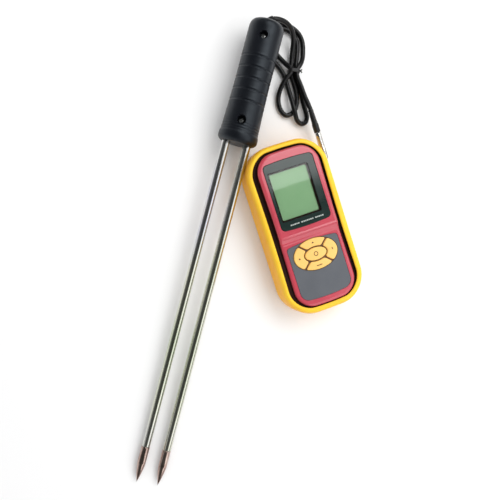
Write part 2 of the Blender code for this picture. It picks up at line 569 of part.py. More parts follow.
block = cylinder("rod_mount_block", 13.6, 8.0, 28.0, (0, 0), "Y", parent=probe, seg=24)
for i, s in ((1, -1), (2, 1)):
    boolean(block, cylinder("block_bore_%d" % i, ROD_R + GAP, 0.0, 40.0, (s * ROD_PITCH / 2, 0), "Y", parent=probe,
                            cutter=True))
boolean(block, cylinder("block_well", 5.6, 7.2, 30.0, (0, SCREWS[1]), "Z", parent=grip, cutter=True, seg=18))
boolean(block, cylinder("block_pilot", 1.8, -10.0, 9.0, (0, SCREWS[1]), "Z", parent=grip, cutter=True, seg=12))
finish(block, (0.75, 0.73, 0.68), 0.5)

for side, s in (("left", -1), ("right", 1)):
    x = s * ROD_PITCH / 2
    rod = cylinder("rod_" + side, ROD_R, -(ROD_LEN - TIP_LEN) + 0.15, 34.0, (x, 0), "Y", parent=probe, seg=20)
    boolean(rod, cylinder("rod_tap_top_" + side, 1.7, 26.0, 36.0, (x, 0), "Y", parent=probe, cutter=True, seg=10))
    boolean(rod, cylinder("rod_tap_low_" + side, 2.2, -(ROD_LEN - TIP_LEN) - 2.0, -(ROD_LEN - TIP_LEN) + 12.0,
                          (x, 0), "Y", parent=probe, cutter=True, seg=12))
    finish(rod, (0.78, 0.77, 0.75), 0.12, 1.0)
    low = -(ROD_LEN - TIP_LEN) - 0.15
    end = -ROD_LEN
    tip = turned("tip_" + side, [(0, low + 11.0), (1.9, low + 11.0), (1.9, low), (ROD_R, low), (ROD_R, end + 18.0),
                                 (3.1, end + 12.0), (1.9, end + 6.0), (0.5, end + 0.6), (0, end)], (x, 0), "Y",
                 parent=probe, steps=20)
    finish(tip, (0.7, 0.66, 0.64), 0.15, 1.0)
    lug_pts = [(3.4 * math.cos(math.radians(t)), 3.4 * math.sin(math.radians(t))) for t in range(-240, 61, 30)]
    lug_pts += [(1.3, 6.6), (-1.3, 6.6)]
    lug = prism("lug_" + side, lug_pts, -0.4, 0.4, parent=probe)
    lug.matrix_local = Matrix.Translation((x * MM, 34.8 * MM, 0)) @ Matrix.Rotation(math.radians(90), 4, "X") \
        @ Matrix.Rotation(math.radians(180), 4, "Z")
    boolean(lug, cylinder("lug_hole_" + side, 1.7, 30.0, 40.0, (x, 0), "Y", parent=probe, cutter=True, seg=12))
    finish(lug, (0.75, 0.72, 0.6), 0.3, 1.0)
    lscrew = turned("lug_screw_" + side, [(0, 37.6), (2.2, 37.6), (2.8, 36.8), (2.8, 35.5), (1.35, 35.5),
                                          (1.35, 28.0), (0, 27.6)], (x, 0), "Y", parent=probe, steps=12)
    finish(lscrew, (0.75, 0.66, 0.4), 0.3, 1.0)
    wire = tube("wire_" + side, catmull([(x, 35.6, -5.0), (x, 42.0, -5.4), (s * 8.8, 56.0, -4.0),
                                         (s * 7.6, 76.0, -1.5), (s * 6.6, 95.0, 0.0), (s * 3.2, 105.0, 0.0),
                                         (s * 2.0, 107.4, 0.0)], 6.5), 0.75, parent=probe)
    finish(wire, (0.5, 0.03, 0.03) if side == "left" else BLACK, 0.5)

gland = turned("cord_gland", [(0, HANDLE_LEN - 2.9), (5.6, HANDLE_LEN - 2.9), (5.6, HANDLE_LEN - 5.6),
                              (0, HANDLE_LEN - 5.6)], (0, 0), "Y", parent=probe, steps=16)
# the strain relief turns towards the cord as soon as it leaves the handle's end
boolean(gland, tube("gland_sleeve", catmull([(0, HANDLE_LEN - 4.5, 0), (0, HANDLE_LEN - 0.5, 0),
                                             (0.5, HANDLE_LEN + 1.6, 0), (1.8, HANDLE_LEN + 3.3, 0),
                                             (3.4, HANDLE_LEN + 4.4, 0)], 1.2), 3.1, parent=probe, cutter=True),
        "UNION")
finish(gland, BLACK, 0.4)

# ================================================================ cord, tied hank and its runs
gland_end = PM @ Vector((3.95 * MM, (HANDLE_LEN + 4.78) * MM, 0)) / MM
away = (PM.to_3x3() @ Vector((1.0, 0.75, 0))).normalized()
lead_route = catmull([gland_end, gland_end + away * 1.6, (35.7, 187.6, 22.9), (41.6, 185.1, 19.9), (46.9, 180.9, 16.5),
                      (49.5, 176.3, 13.9), (49.2, 172.2, 12.5)], 3.6)
finish(tube("cord_lead", lead_route, CORD_R), BLACK, 0.35)

hank_knots = [(43.0, 191.3), (49.5, 188.3), (55.0, 183.8), (59.6, 177.5), (61.0, 170.5), (60.4, 162.5),
              (57.2, 154.6), (52.6, 148.0), (48.6, 142.6), (45.6, 138.6), (41.0, 136.1), (39.6, 131.5),
              (39.4, 124.0), (39.3, 112.0), (39.6, 101.0), (39.4, 93.5), (36.2, 88.2), (31.0, 90.2), (28.2, 98.5),
              (22.5, 101.6), (16.6, 106.0), (15.4, 113.5), (17.5, 122.5), (22.5, 130.5), (28.5, 137.5),
              (33.0, 143.6), (34.6, 148.6), (32.2, 155.5), (31.4, 163.0), (32.6, 172.5), (35.0, 181.0),
              (37.6, 188.5)]
loop_pts = catmull([(x, y, 0) for x, y in hank_knots + hank_knots[:1]], 7.0)[:-1]
hank = prism("cord_hank", [(p.x, p.y) for p in loop_pts], 1.6, 9.6)
finish(hank, BLACK, 0.4)

TIE_C, TIE_ANGLE = (40.6, 143.2), 24.0
tie = box("cord_tie", (-8.7, -1.8, -5.3), (8.7, 1.8, 5.3), bevel=0.3)
tie.matrix_world = Matrix.Translation((TIE_C[0] * MM, TIE_C[1] * MM, 5.6 * MM)) \
    @ Matrix.Rotation(math.radians(-TIE_ANGLE), 4, "Z")
bpy.context.view_layer.update()
tie_hole = box("tie_hole", (-7.9, -4.0, -4.4), (7.9, 4.0, 4.4), cutter=True)
tie_hole.matrix_world = tie.matrix_world.copy()
boolean(tie, tie_hole)
finish(tie, BLACK, 0.5)

run_route = catmull([(PLUG_X, 102.3, SOCKET_Z), (PLUG_X - 0.2, 107.0, 11.5), (42.9, 114.5, 9.9), (42.7, 124.5, 8.2),
                     (42.6, 132.8, 7.6)], 4.5)
finish(tube("cord_run", run_route, CORD_R), BLACK, 0.35)
bpy.context.view_layer.update()
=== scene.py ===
"""Looks of the hand-held moisture meter with its two-rod probe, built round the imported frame."""
import math

import bmesh
import bpy
import numpy as np
from mathutils import Matrix, Vector


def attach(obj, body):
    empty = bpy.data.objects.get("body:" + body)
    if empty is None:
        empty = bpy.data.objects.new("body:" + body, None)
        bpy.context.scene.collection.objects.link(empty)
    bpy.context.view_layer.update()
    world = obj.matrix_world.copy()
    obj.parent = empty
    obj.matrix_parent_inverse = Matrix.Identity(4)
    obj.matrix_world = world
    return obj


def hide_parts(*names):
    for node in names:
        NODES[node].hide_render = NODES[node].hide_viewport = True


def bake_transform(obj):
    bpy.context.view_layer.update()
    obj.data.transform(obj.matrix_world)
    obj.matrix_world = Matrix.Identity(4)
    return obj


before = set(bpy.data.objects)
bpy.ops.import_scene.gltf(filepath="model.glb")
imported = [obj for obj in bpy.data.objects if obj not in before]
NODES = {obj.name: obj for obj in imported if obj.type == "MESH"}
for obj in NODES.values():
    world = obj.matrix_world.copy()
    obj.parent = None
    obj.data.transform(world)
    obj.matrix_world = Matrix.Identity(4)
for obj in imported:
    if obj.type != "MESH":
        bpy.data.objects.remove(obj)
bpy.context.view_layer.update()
MM = 0.001
scene = bpy.context.scene

# ---------------------------------------------------------------- camera
C = Vector((-0.15774, 0.04018, 0.55808))
FWD = Vector((0.18668, -0.08150, -0.97903)).normalized()
RIGHT = FWD.cross(Vector((0.31759, 0.94805, -0.01837))).normalized()
UP = RIGHT.cross(FWD)
cam_data = bpy.data.cameras.new("camera")
cam_data.lens, cam_data.sensor_width = 43.2, 36.0
cam_data.clip_start, cam_data.clip_end = 0.02, 30.0
cam = bpy.data.objects.new("camera", cam_data)
scene.collection.objects.link(cam)
m = Matrix((RIGHT, UP, -FWD)).transposed().to_4x4()
m.translation = C
cam.matrix_world = m
scene.camera = cam
scene.view_settings.view_transform = "Standard"

# ---------------------------------------------------------------- the cord's route (mm)
CORD_A = [
    (31.2, 188.6, 23.7), (34.5, 187.8, 23.2), (37.6, 186.8, 22.2), (40.5, 185.5, 20.8), (43.1, 183.9, 19.2),
    (45.3, 182.1, 17.4), (47.1, 180.0, 15.6), (48.4, 177.6, 13.6), (49.1, 174.9, 11.7), (49.2, 172.1, 9.8),
    (48.8, 169.0, 8.1), (47.9, 165.9, 6.9), (46.8, 162.7, 5.9), (45.4, 159.5, 5.1), (44.1, 156.1, 4.5),
    (42.9, 152.8, 4.0), (41.6, 149.4, 3.7), (40.3, 146.1, 3.5), (38.9, 142.8, 3.5), (38.3, 139.3, 3.3),
    (38.3, 135.8, 2.9), (38.5, 132.3, 2.6), (38.5, 128.8, 2.4), (38.4, 125.2, 2.4), (38.0, 121.6, 2.4),
    (37.3, 118.1, 2.4), (36.3, 114.7, 2.4), (34.9, 111.5, 2.4), (33.2, 108.7, 2.4), (30.9, 106.4, 2.4),
    (28.2, 104.9, 2.4), (25.2, 104.3, 2.3), (21.9, 104.5, 2.4), (19.5, 107.2, 2.4), (18.3, 110.5, 2.4),
    (18.0, 114.1, 2.3), (18.3, 117.7, 2.4), (19.1, 121.2, 2.5), (20.4, 124.5, 3.0), (22.2, 127.5, 3.8),
    (24.2, 130.3, 4.8), (26.5, 132.9, 5.8), (29.0, 135.3, 6.6), (31.8, 137.5, 7.3), (34.9, 139.4, 7.8),
    (37.8, 141.4, 8.1), (38.3, 144.6, 7.8), (37.0, 147.7, 6.6), (35.6, 150.7, 5.1), (34.4, 153.8, 3.9),
    (33.0, 157.1, 3.0), (31.6, 160.3, 2.5), (30.0, 163.6, 2.3), (28.7, 166.9, 2.3), (28.0, 170.4, 2.4),
    (28.2, 174.0, 2.4), (29.1, 177.5, 2.4), (30.8, 180.7, 2.4), (33.3, 183.2, 2.4), (36.6, 184.6, 2.4),
    (40.2, 184.7, 2.4), (43.6, 183.8, 2.4), (46.8, 182.1, 2.4), (49.5, 179.7, 2.4), (51.8, 176.9, 2.4),
    (53.1, 173.6, 2.4), (53.6, 170.1, 2.4), (53.3, 166.5, 2.4), (52.5, 163.0, 2.4), (51.3, 159.6, 2.5),
    (50.0, 156.2, 2.6), (48.5, 153.0, 2.9), (47.0, 149.7, 3.2), (45.5, 146.4, 3.4), (44.1, 143.1, 3.5),
    (42.6, 139.8, 3.5), (42.7, 136.4, 3.2), (42.9, 132.9, 2.8), (43.1, 129.4, 2.5), (43.0, 125.8, 2.4),
    (42.8, 122.2, 2.4), (42.5, 118.6, 2.4), (42.2, 115.0, 2.4), (42.0, 111.4, 2.4), (41.8, 107.9, 2.4),
    (41.8, 104.4, 2.4), (41.7, 101.0, 2.4), (41.3, 97.7, 2.4), (40.1, 95.0, 2.4), (38.2, 93.1, 2.4),
    (35.7, 92.4, 2.5), (33.2, 93.1, 3.1), (31.3, 95.0, 3.7), (30.1, 97.8, 4.5), (29.7, 101.0, 5.7),
    (29.7, 104.5, 6.7), (29.9, 108.0, 6.9), (30.1, 111.4, 6.6), (30.4, 114.8, 6.1), (30.7, 118.2, 5.4),
    (31.0, 121.5, 4.7), (31.3, 124.8, 4.0), (31.6, 128.1, 3.3), (31.8, 131.5, 2.8), (31.9, 134.9, 2.5),
    (31.8, 138.4, 2.3), (31.5, 142.0, 2.3), (30.7, 145.5, 2.4), (29.6, 148.9, 2.4), (28.2, 152.2, 2.4),
    (26.6, 155.5, 2.4), (25.0, 158.7, 2.4), (23.8, 162.1, 2.4), (22.9, 165.6, 2.4), (22.6, 169.1, 2.4),
    (22.8, 172.7, 2.4), (23.5, 176.3, 2.4), (24.7, 179.6, 2.4), (26.4, 182.8, 2.4), (28.5, 185.7, 2.4),
    (31.1, 188.2, 2.4), (34.3, 189.8, 2.4), (37.8, 190.3, 2.4), (41.4, 189.8, 2.4), (44.7, 188.5, 2.4),
    (47.9, 186.7, 2.4), (50.8, 184.7, 2.4), (53.4, 182.2, 2.4), (55.7, 179.3, 2.4), (57.5, 176.2, 2.4),
    (58.7, 172.9, 2.4), (59.2, 169.3, 2.4), (59.0, 165.7, 2.4), (58.3, 162.2, 2.5), (57.2, 158.8, 2.7),
    (55.9, 155.5, 3.2), (54.3, 152.3, 4.0), (52.4, 149.5, 5.1), (50.1, 147.0, 6.3), (47.4, 144.8, 7.4),
    (44.6, 142.7, 7.9), (42.7, 139.8, 8.1),
]
CORD_B = [
    (42.7, 139.8, 8.1), (42.0, 136.6, 8.0), (42.0, 133.5, 7.9), (42.5, 130.4, 7.9), (42.7, 127.2, 8.0),
    (42.8, 124.1, 8.3), (42.8, 121.0, 8.7), (42.8, 117.8, 9.2), (42.8, 114.7, 9.8), (42.9, 111.7, 10.5),
    (43.1, 108.6, 11.2), (43.2, 105.4, 11.7), (43.4, 102.3, 12.0),
]
CORD_R = 2.25
# both routes are one cord: the first part runs from the probe through the tied hank, the second on to the plug


# ---------------------------------------------------------------- helpers
def material(name):
    mat = bpy.data.materials.new(name)
    mat.use_nodes = True
    nt = mat.node_tree
    bsdf = nt.nodes["Principled BSDF"]
    return mat, nt, bsdf


def node(nt, kind, **props):
    n = nt.nodes.new(kind)
    for k, v in props.items():
        if k in n.inputs:
            n.inputs[k].default_value = v
        else:
            setattr(n, k, v)
    return n


def noise(nt, scale, detail=3.0, rough=0.5, coords="Object", stretch=None):
    tc = node(nt, "ShaderNodeTexCoord")
    src = tc.outputs[coords]
    if stretch:
        mp = node(nt, "ShaderNodeMapping")
        mp.inputs["Scale"].default_value = stretch
        nt.links.new(src, mp.inputs["Vector"])
        src = mp.outputs["Vector"]
    n = node(nt, "ShaderNodeTexNoise")
    n.inputs["Scale"].default_value = scale
    n.inputs["Detail"].default_value = detail
    n.inputs["Roughness"].default_value = rough
    nt.links.new(src, n.inputs["Vector"])
    return n.outputs["Fac"]


def ramp(nt, fac, stops):
    r = node(nt, "ShaderNodeValToRGB")
    el = r.color_ramp.elements
    while len(el) < len(stops):
        el.new(0.5)
    for e, (pos, col) in zip(el, stops):
        e.position, e.color = pos, (*col, 1.0) if len(col) == 3 else col
    nt.links.new(fac, r.inputs["Fac"])
    return r.outputs["Color"]


def bump(nt, bsdf, height, strength, distance):
    b = node(nt, "ShaderNodeBump")
    b.inputs["Strength"].default_value = strength
    b.inputs["Distance"].default_value = distance
    nt.links.new(height, b.inputs["Height"])
    nt.links.new(b.outputs["Normal"], bsdf.inputs["Normal"])
    return b


def maprange(nt, value, a0, a1, b0, b1):
    r = node(nt, "ShaderNodeMapRange")
    r.inputs["From Min"].default_value, r.inputs["From Max"].default_value = a0, a1
    r.inputs["To Min"].default_value, r.inputs["To Max"].default_value = b0, b1
    nt.links.new(value, r.inputs["Value"])
    return r.outputs["Result"]


def plastic(name, dark, light, rough=(0.3, 0.4), grain=900.0, grain_depth=0.00003, strength=0.35, blotch=35.0,
            coat=0.0, spec=0.5, detail=4.0):
    """Moulded plastic or rubber: slight colour blotches, a fine texture and roughness that varies a little."""
    mat, nt, b = material(name)
    big = noise(nt, blotch, detail)
    nt.links.new(ramp(nt, big, [(0.3, dark), (0.7, light)]), b.inputs["Base Color"])
    nt.links.new(maprange(nt, noise(nt, blotch * 3.1, 4.0), 0.3, 0.7, rough[0], rough[1]), b.inputs["Roughness"])
    bump(nt, b, noise(nt, grain, 2.0), strength, grain_depth)
    b.inputs["Specular IOR Level"].default_value = spec
    if coat:
        b.inputs["Coat Weight"].default_value = coat
        b.inputs["Coat Roughness"].default_value = 0.12
    return mat


def metal(name, dark, light, rough=(0.08, 0.16), scale=60.0, stretch=None, scratch=0.00001):
    mat, nt, b = material(name)
    b.inputs["Metallic"].default_value = 1.0
    n1 = noise(nt, scale, 4.0, stretch=stretch)
    nt.links.new(ramp(nt, n1, [(0.3, dark), (0.7, light)]), b.inputs["Base Color"])
    nt.links.new(maprange(nt, noise(nt, scale * 4, 5.0, stretch=stretch), 0.3, 0.7, rough[0], rough[1]),
                 b.inputs["Roughness"])
    bump(nt, b, noise(nt, scale * 12, 3.0, stretch=stretch), 0.25, scratch)
    return mat


def flat_tops(me):
    """Level faces keep their own normals, so a mirror-flat face beside a rounded edge stays flat."""
    for p in me.polygons:
        if abs(p.normal.z) > 0.9997 and p.area > 4e-7:
            p.use_smooth = False


def new_mesh(name, bm, mat=None, smooth=32.0, recalc=True):
    if recalc:
        bmesh.ops.recalc_face_normals(bm, faces=bm.faces[:])
    me = bpy.data.meshes.new(name)
    bm.to_mesh(me)
    bm.free()
    ob = bpy.data.objects.new(name, me)
    scene.collection.objects.link(ob)
    me.shade_smooth()
    if smooth is not None:
        me.set_sharp_from_angle(angle=math.radians(smooth))
    flat_tops(me)
    if mat is not None:
        me.materials.append(mat)
    return ob


def bake(ob, smooth=32.0):
    """Applies the modifiers, so the piece is a plain mesh."""
    bpy.context.view_layer.update()
    ev = ob.evaluated_get(bpy.context.evaluated_depsgraph_get())
    me = bpy.data.meshes.new_from_object(ev)
    old = ob.data
    ob.modifiers.clear()
    ob.data = me
    for mt in list(old.materials):
        if mt is not None and mt.name not in [x.name for x in me.materials if x]:
            me.materials.append(mt)
    bm = bmesh.new()
    bm.from_mesh(me)
    bmesh.ops.remove_doubles(bm, verts=bm.verts[:], dist=2e-7)
    bmesh.ops.dissolve_degenerate(bm, edges=bm.edges[:], dist=1e-7)
    bm.to_mesh(me)
    bm.free()
    me.shade_smooth()
    me.set_sharp_from_angle(angle=math.radians(smooth))
    flat_tops(me)
    return ob


CUT = []


def cutter(ob):
    ob.hide_render = ob.hide_viewport = True
    CUT.append(ob)
    return ob


def cut(ob, tool, operation="DIFFERENCE"):
    md = ob.modifiers.new(tool.name, "BOOLEAN")
    md.operation, md.solver, md.object = operation, "EXACT", tool
    return ob


def outline(hw, hl, r, crown=0.0, waist=0.0, centre=(0.0, 0.0), seg=18, side=12, end=8):
    """Rounded rectangle with arched ends and slightly waisted sides (mm)."""
    r = max(r, 0.4)
    top = hl - crown
    pts = []
    corners = [(hw - r, top - r, 0.0), (-(hw - r), top - r, 90.0),
               (-(hw - r), -(top - r), 180.0), (hw - r, -(top - r), 270.0)]
    for i, (cx, cy, a0) in enumerate(corners):
        for k in range(seg + 1):
            a = math.radians(a0 + 90.0 * k / seg)
            pts.append((cx + r * math.cos(a), cy + r * math.sin(a)))
        nx, ny, na = corners[(i + 1) % 4]
        b = math.radians(na)
        start, stop = pts[-1], (nx + r * math.cos(b), ny + r * math.sin(b))
        n = end if i % 2 == 0 else side
        for k in range(1, n + 1):
            t = k / (n + 1)
            pts.append((start[0] + (stop[0] - start[0]) * t, start[1] + (stop[1] - start[1]) * t))
    out = []
    for x, y in pts:
        arch = max(0.0, 1.0 - (x / hw) ** 2)
        nip = max(0.0, 1.0 - (y / (0.72 * hl)) ** 2) ** 1.5
        y2 = y + math.copysign(crown * arch * min(1.0, (abs(y) / top) ** 6), y)
        out.append((centre[0] + x - math.copysign(waist * nip * (abs(x) / hw), x), centre[1] + y2))
    return out


def loft(rings, cap_first=True, cap_last=True):
    """Rings of (points, z) or of 3-D points in mm, equal in count, joined in order."""
    bm = bmesh.new()
    loops = []
    for ring in rings:
        if isinstance(ring, tuple):
            pts, z = ring
            loops.append([bm.verts.new((x * MM, y * MM, z * MM)) for x, y in pts])
        else:
            loops.append([bm.verts.new((x * MM, y * MM, z * MM)) for x, y, z in ring])
    n = len(loops[0])
    for lo, hi in zip(loops, loops[1:]):
        for k in range(n):
            j = (k + 1) % n
            bm.faces.new((lo[k], lo[j], hi[j], hi[k]))
    if cap_first:
        bm.faces.new(list(reversed(loops[0])))
    if cap_last:
        bm.faces.new(loops[-1])
    return bm


def prism(name, pts, z0, z1, mat=None, edge=0.0, steps=3, smooth=32.0):
    """A flat outline with rounded top and bottom edges. Outline points in mm."""
    P2 = np.array(pts, float)
    d = np.roll(P2, -1, 0) - np.roll(P2, 1, 0)
    nrm = np.stack([d[:, 1], -d[:, 0]], 1)
    nrm /= np.maximum(np.linalg.norm(nrm, axis=1, keepdims=True), 1e-9)
    area = 0.5 * np.sum(P2[:, 0] * np.roll(P2[:, 1], -1) - np.roll(P2[:, 0], -1) * P2[:, 1])
    if area < 0:
        nrm = -nrm
    rings = []
    if edge > 0:
        for k in range(steps + 1):
            a = math.radians(90.0 * k / steps)
            rings.append(([tuple(p) for p in P2 - nrm * edge * (1 - math.sin(a))], z0 + edge * (1 - math.cos(a))))
        for k in range(steps + 1):
            a = math.radians(90.0 * k / steps)
            rings.append(([tuple(p) for p in P2 - nrm * edge * (1 - math.cos(a))], z1 - edge * (1 - math.sin(a))))
    else:
        rings = [(pts, z0), (pts, z1)]
    return new_mesh(name, loft(rings), mat, smooth)


def ellipse(a, b, centre, n=72):
    return [(centre[0] + a * math.cos(2 * math.pi * k / n), centre[1] + b * math.sin(2 * math.pi * k / n))
            for k in range(n)]


def boxy(name, lo, hi, mat=None, bevel=0.0, segs=2):
    bm = bmesh.new()
    bmesh.ops.create_cube(bm, size=1.0)
    bmesh.ops.scale(bm, verts=bm.verts[:], vec=[(b - a) * MM for a, b in zip(lo, hi)])
    bmesh.ops.translate(bm, verts=bm.verts[:], vec=[(a + b) / 2 * MM for a, b in zip(lo, hi)])
    if bevel > 0:
        bmesh.ops.bevel(bm, geom=bm.edges[:], offset=bevel * MM, segments=segs, profile=0.5, affect="EDGES")
    return new_mesh(name, bm, mat)


AX = {"X": Matrix.Rotation(math.radians(90), 4, "Y"), "Y": Matrix.Rotation(math.radians(-90), 4, "X"),
      "Z": Matrix.Identity(4)}


def turned(name, profile, at, axis, mat=None, seg=64, frame_m=None, smooth=32.0):
    """A turned shape from a closed or axis-to-axis profile of (radius, station) in mm."""
    bm = bmesh.new()
    loops = []
    for r, h in profile:
        if r < 1e-6:
            loops.append([bm.verts.new((0, 0, h * MM))])
        else:
            loops.append([bm.verts.new((r * MM * math.cos(2 * math.pi * k / seg),
                                        r * MM * math.sin(2 * math.pi * k / seg), h * MM)) for k in range(seg)])
    for a, b in zip(loops, loops[1:]):
        for k in range(seg):
            j = (k + 1) % seg
            quad = [a[k % len(a)], a[j % len(a)], b[j % len(b)], b[k % len(b)]]
            face = []
            for v in quad:
                if v not in face:
                    face.append(v)
            if len(face) > 2:
                bm.faces.new(face)
    bmesh.ops.transform(bm, matrix=AX[axis], verts=bm.verts[:])
    shift = {"X": (0, at[0], at[1]), "Y": (at[0], 0, at[1]), "Z": (at[0], at[1], 0)}[axis]
    bmesh.ops.translate(bm, verts=bm.verts[:], vec=[c * MM for c in shift])
    if frame_m is not None:
        bmesh.ops.transform(bm, matrix=frame_m, verts=bm.verts[:])
    return new_mesh(name, bm, mat, smooth)


def smooth_path(points, step):
    """One smooth curve through the points, sampled about 'step' apart (mm)."""
    p = np.array(points, float)
    e = np.vstack([2 * p[0] - p[1], p, 2 * p[-1] - p[-2]])
    fine = []
    for i in range(1, len(e) - 2):
        p0, p1, p2, p3 = e[i - 1:i + 3]
        for k in range(12):
            t = k / 12
            fine.append(0.5 * ((2 * p1) + (p2 - p0) * t + (2 * p0 - 5 * p1 + 4 * p2 - p3) * t * t
                               + (3 * p1 - p0 - 3 * p2 + p3) * t ** 3))
    fine.append(p[-1])
    fine = np.array(fine)
    for _ in range(6):
        fine[1:-1] += 0.5 * ((fine[:-2] + fine[2:]) / 2 - fine[1:-1])
    s = np.concatenate([[0], np.cumsum(np.linalg.norm(np.diff(fine, axis=0), axis=1))])
    n = max(2, round(s[-1] / step))
    at = np.linspace(0, s[-1], n + 1)
    return np.stack([np.interp(at, s, fine[:, k]) for k in range(3)], 1)


def tube(name, path, radius, mat=None, sides=20, caps=True, smooth=60.0):
    """A round tube whose rings stand on the path's points (mm). radius is a number or one for each point."""
    n = len(path)
    rad = np.full(n, radius, float) if np.isscalar(radius) else np.array(radius, float)
    tan = np.gradient(path, axis=0)
    tan /= np.linalg.norm(tan, axis=1, keepdims=True)
    up = np.array([0.0, 0.0, 1.0]) if abs(tan[0][2]) < 0.9 else np.array([1.0, 0.0, 0.0])
    u = np.cross(tan[0], up)
    u /= np.linalg.norm(u)
    bm = bmesh.new()
    loops = []
    for i in range(n):
        u = u - tan[i] * u.dot(tan[i])
        u /= np.linalg.norm(u)
        v = np.cross(tan[i], u)
        loops.append([bm.verts.new(tuple((path[i] + rad[i] * (u * math.cos(2 * math.pi * k / sides)
                                                             + v * math.sin(2 * math.pi * k / sides))) * MM))
                      for k in range(sides)])
    for a, b in zip(loops, loops[1:]):
        for k in range(sides):
            j = (k + 1) % sides
            bm.faces.new((a[k], a[j], b[j], b[k]))
    if caps:
        bm.faces.new(list(reversed(loops[0])))
        bm.faces.new(loops[-1])
    return new_mesh(name, bm, mat, smooth)


def paint(node_name, mat):
    """A better material on a CAD node that is kept as it is."""
    ob = NODES[node_name]
    ob.data.materials.clear()
    ob.data.materials.append(mat)
    ob.data.shade_smooth()
    ob.data.set_sharp_from_angle(angle=math.radians(30))
    return ob


# ---------------------------------------------------------------- the probe's own frame
SIN = (18.3 - 0.2 - 3.9) / (322.0 - 17.0)
TILT = math.asin(SIN)
PM = (Matrix.Translation((-36.5 * MM, 91.1 * MM, (18.3 * math.cos(TILT) + 0.05 - 4.0 * math.sin(TILT)) * MM))
      @ Matrix.Rotation(math.radians(-32.85), 4, "Z") @ Matrix.Rotation(TILT, 4, "X"))
GM = PM @ Matrix.Rotation(math.radians(-12.0), 4, "Y")


def probe_pts(pts):
    return [tuple((PM @ Vector((x * MM, y * MM, z * MM))) / MM) for x, y, z in pts]


# ---------------------------------------------------------------- materials
YELLOW_D, YELLOW_L = (0.93, 0.545, 0.018), (1.0, 0.62, 0.03)
mat_boot, nt, b = material("boot_rubber_fine")
# the side walls take a deeper orange than the top, chosen by how far each face turns from upward: painted shade on the
# sides
geo = node(nt, "ShaderNodeNewGeometry")
sep = node(nt, "ShaderNodeSeparateXYZ")
nt.links.new(geo.outputs["Normal"], sep.inputs["Vector"])
lit_top_mask = maprange(nt, sep.outputs["Z"], 0.15, 0.62, 0.0, 1.0)
blot = noise(nt, 28.0, 4.0)
lit_top_col = ramp(nt, blot, [(0.3, YELLOW_D), (0.7, YELLOW_L)])
painted_shade_side_col = ramp(nt, blot, [(0.3, (0.93, 0.42, 0.012)), (0.7, (1.0, 0.50, 0.02))])
mix = node(nt, "ShaderNodeMix")
mix.data_type = "RGBA"
nt.links.new(lit_top_mask, mix.inputs["Factor"])
nt.links.new(painted_shade_side_col, mix.inputs["A"])
nt.links.new(lit_top_col, mix.inputs["B"])
nt.links.new(mix.outputs["Result"], b.inputs["Base Color"])
nt.links.new(maprange(nt, noise(nt, 90.0), 0.3, 0.7, 0.42, 0.55), b.inputs["Roughness"])
bump(nt, b, noise(nt, 1500.0, 2.0), 0.3, 0.00003)
b.inputs["Specular IOR Level"].default_value = 0.4

mat_red = plastic("case_red", (0.49, 0.050, 0.078), (0.55, 0.060, 0.090), (0.20, 0.27), 2600.0, 0.000004, 0.15, coat=0.7)
# near-black for the channel round the case and for the walls of its openings: painted shade
mat_painted_shade = plastic("channel_painted_shade", (0.028, 0.009, 0.007), (0.042, 0.014, 0.010), (0.55, 0.7), 900.0, 0.00003, 0.3, spec=0.15)
mat_bezel = plastic("bezel_gloss", (0.010, 0.022, 0.019), (0.016, 0.031, 0.027), (0.10, 0.16), 1200.0, 0.000004, 0.2,
                    coat=0.3)
mat_panel = plastic("keypad_film", (0.090, 0.098, 0.114), (0.110, 0.119, 0.136), (0.38, 0.5), 2200.0, 0.00002, 0.4)
mat_key = plastic("key_rubber", (0.90, 0.535, 0.135), (0.96, 0.60, 0.165), (0.42, 0.55), 1600.0, 0.00002, 0.3)
# brown print on the keys, also used for the well between the keys as painted shade
mat_ink_and_gap_shade = plastic("brown_ink_and_gap_shade", (0.11, 0.045, 0.012), (0.16, 0.065, 0.02), (0.45, 0.6))
mat_tick = plastic("pale_print", (0.42, 0.46, 0.43), (0.48, 0.52, 0.49), (0.5, 0.6), 900.0, 0.00001, 0.3)
mat_white = plastic("white_ink", (0.62, 0.66, 0.66), (0.74, 0.78, 0.78), (0.4, 0.5))
mat_grip = plastic("grip_black", (0.0032, 0.0038, 0.0062), (0.0058, 0.0066, 0.0100), (0.32, 0.44), 1300.0, 0.00003, 0.45,
                   blotch=60.0, spec=0.42)
mat_cord = plastic("cord_black", (0.0025, 0.0025, 0.003), (0.005, 0.005, 0.0055), (0.26, 0.34), 900.0, 0.00002, 0.3,
                   blotch=120.0, spec=0.38)
# the grip's highlights take a bluish tint: painted reflection colour
for m in (mat_grip,):
    pb = next(n for n in m.node_tree.nodes if n.type == "BSDF_PRINCIPLED")
    pb.inputs["Specular Tint"].default_value = (0.80, 0.91, 1.0, 1.0)
mat_sleeve = plastic("strain_relief", (0.005, 0.005, 0.006), (0.009, 0.009, 0.01), (0.38, 0.5), 900.0, 0.00003, 0.4)
mat_rod, nt, b = material("rod_nickel")
b.inputs["Metallic"].default_value = 1.0
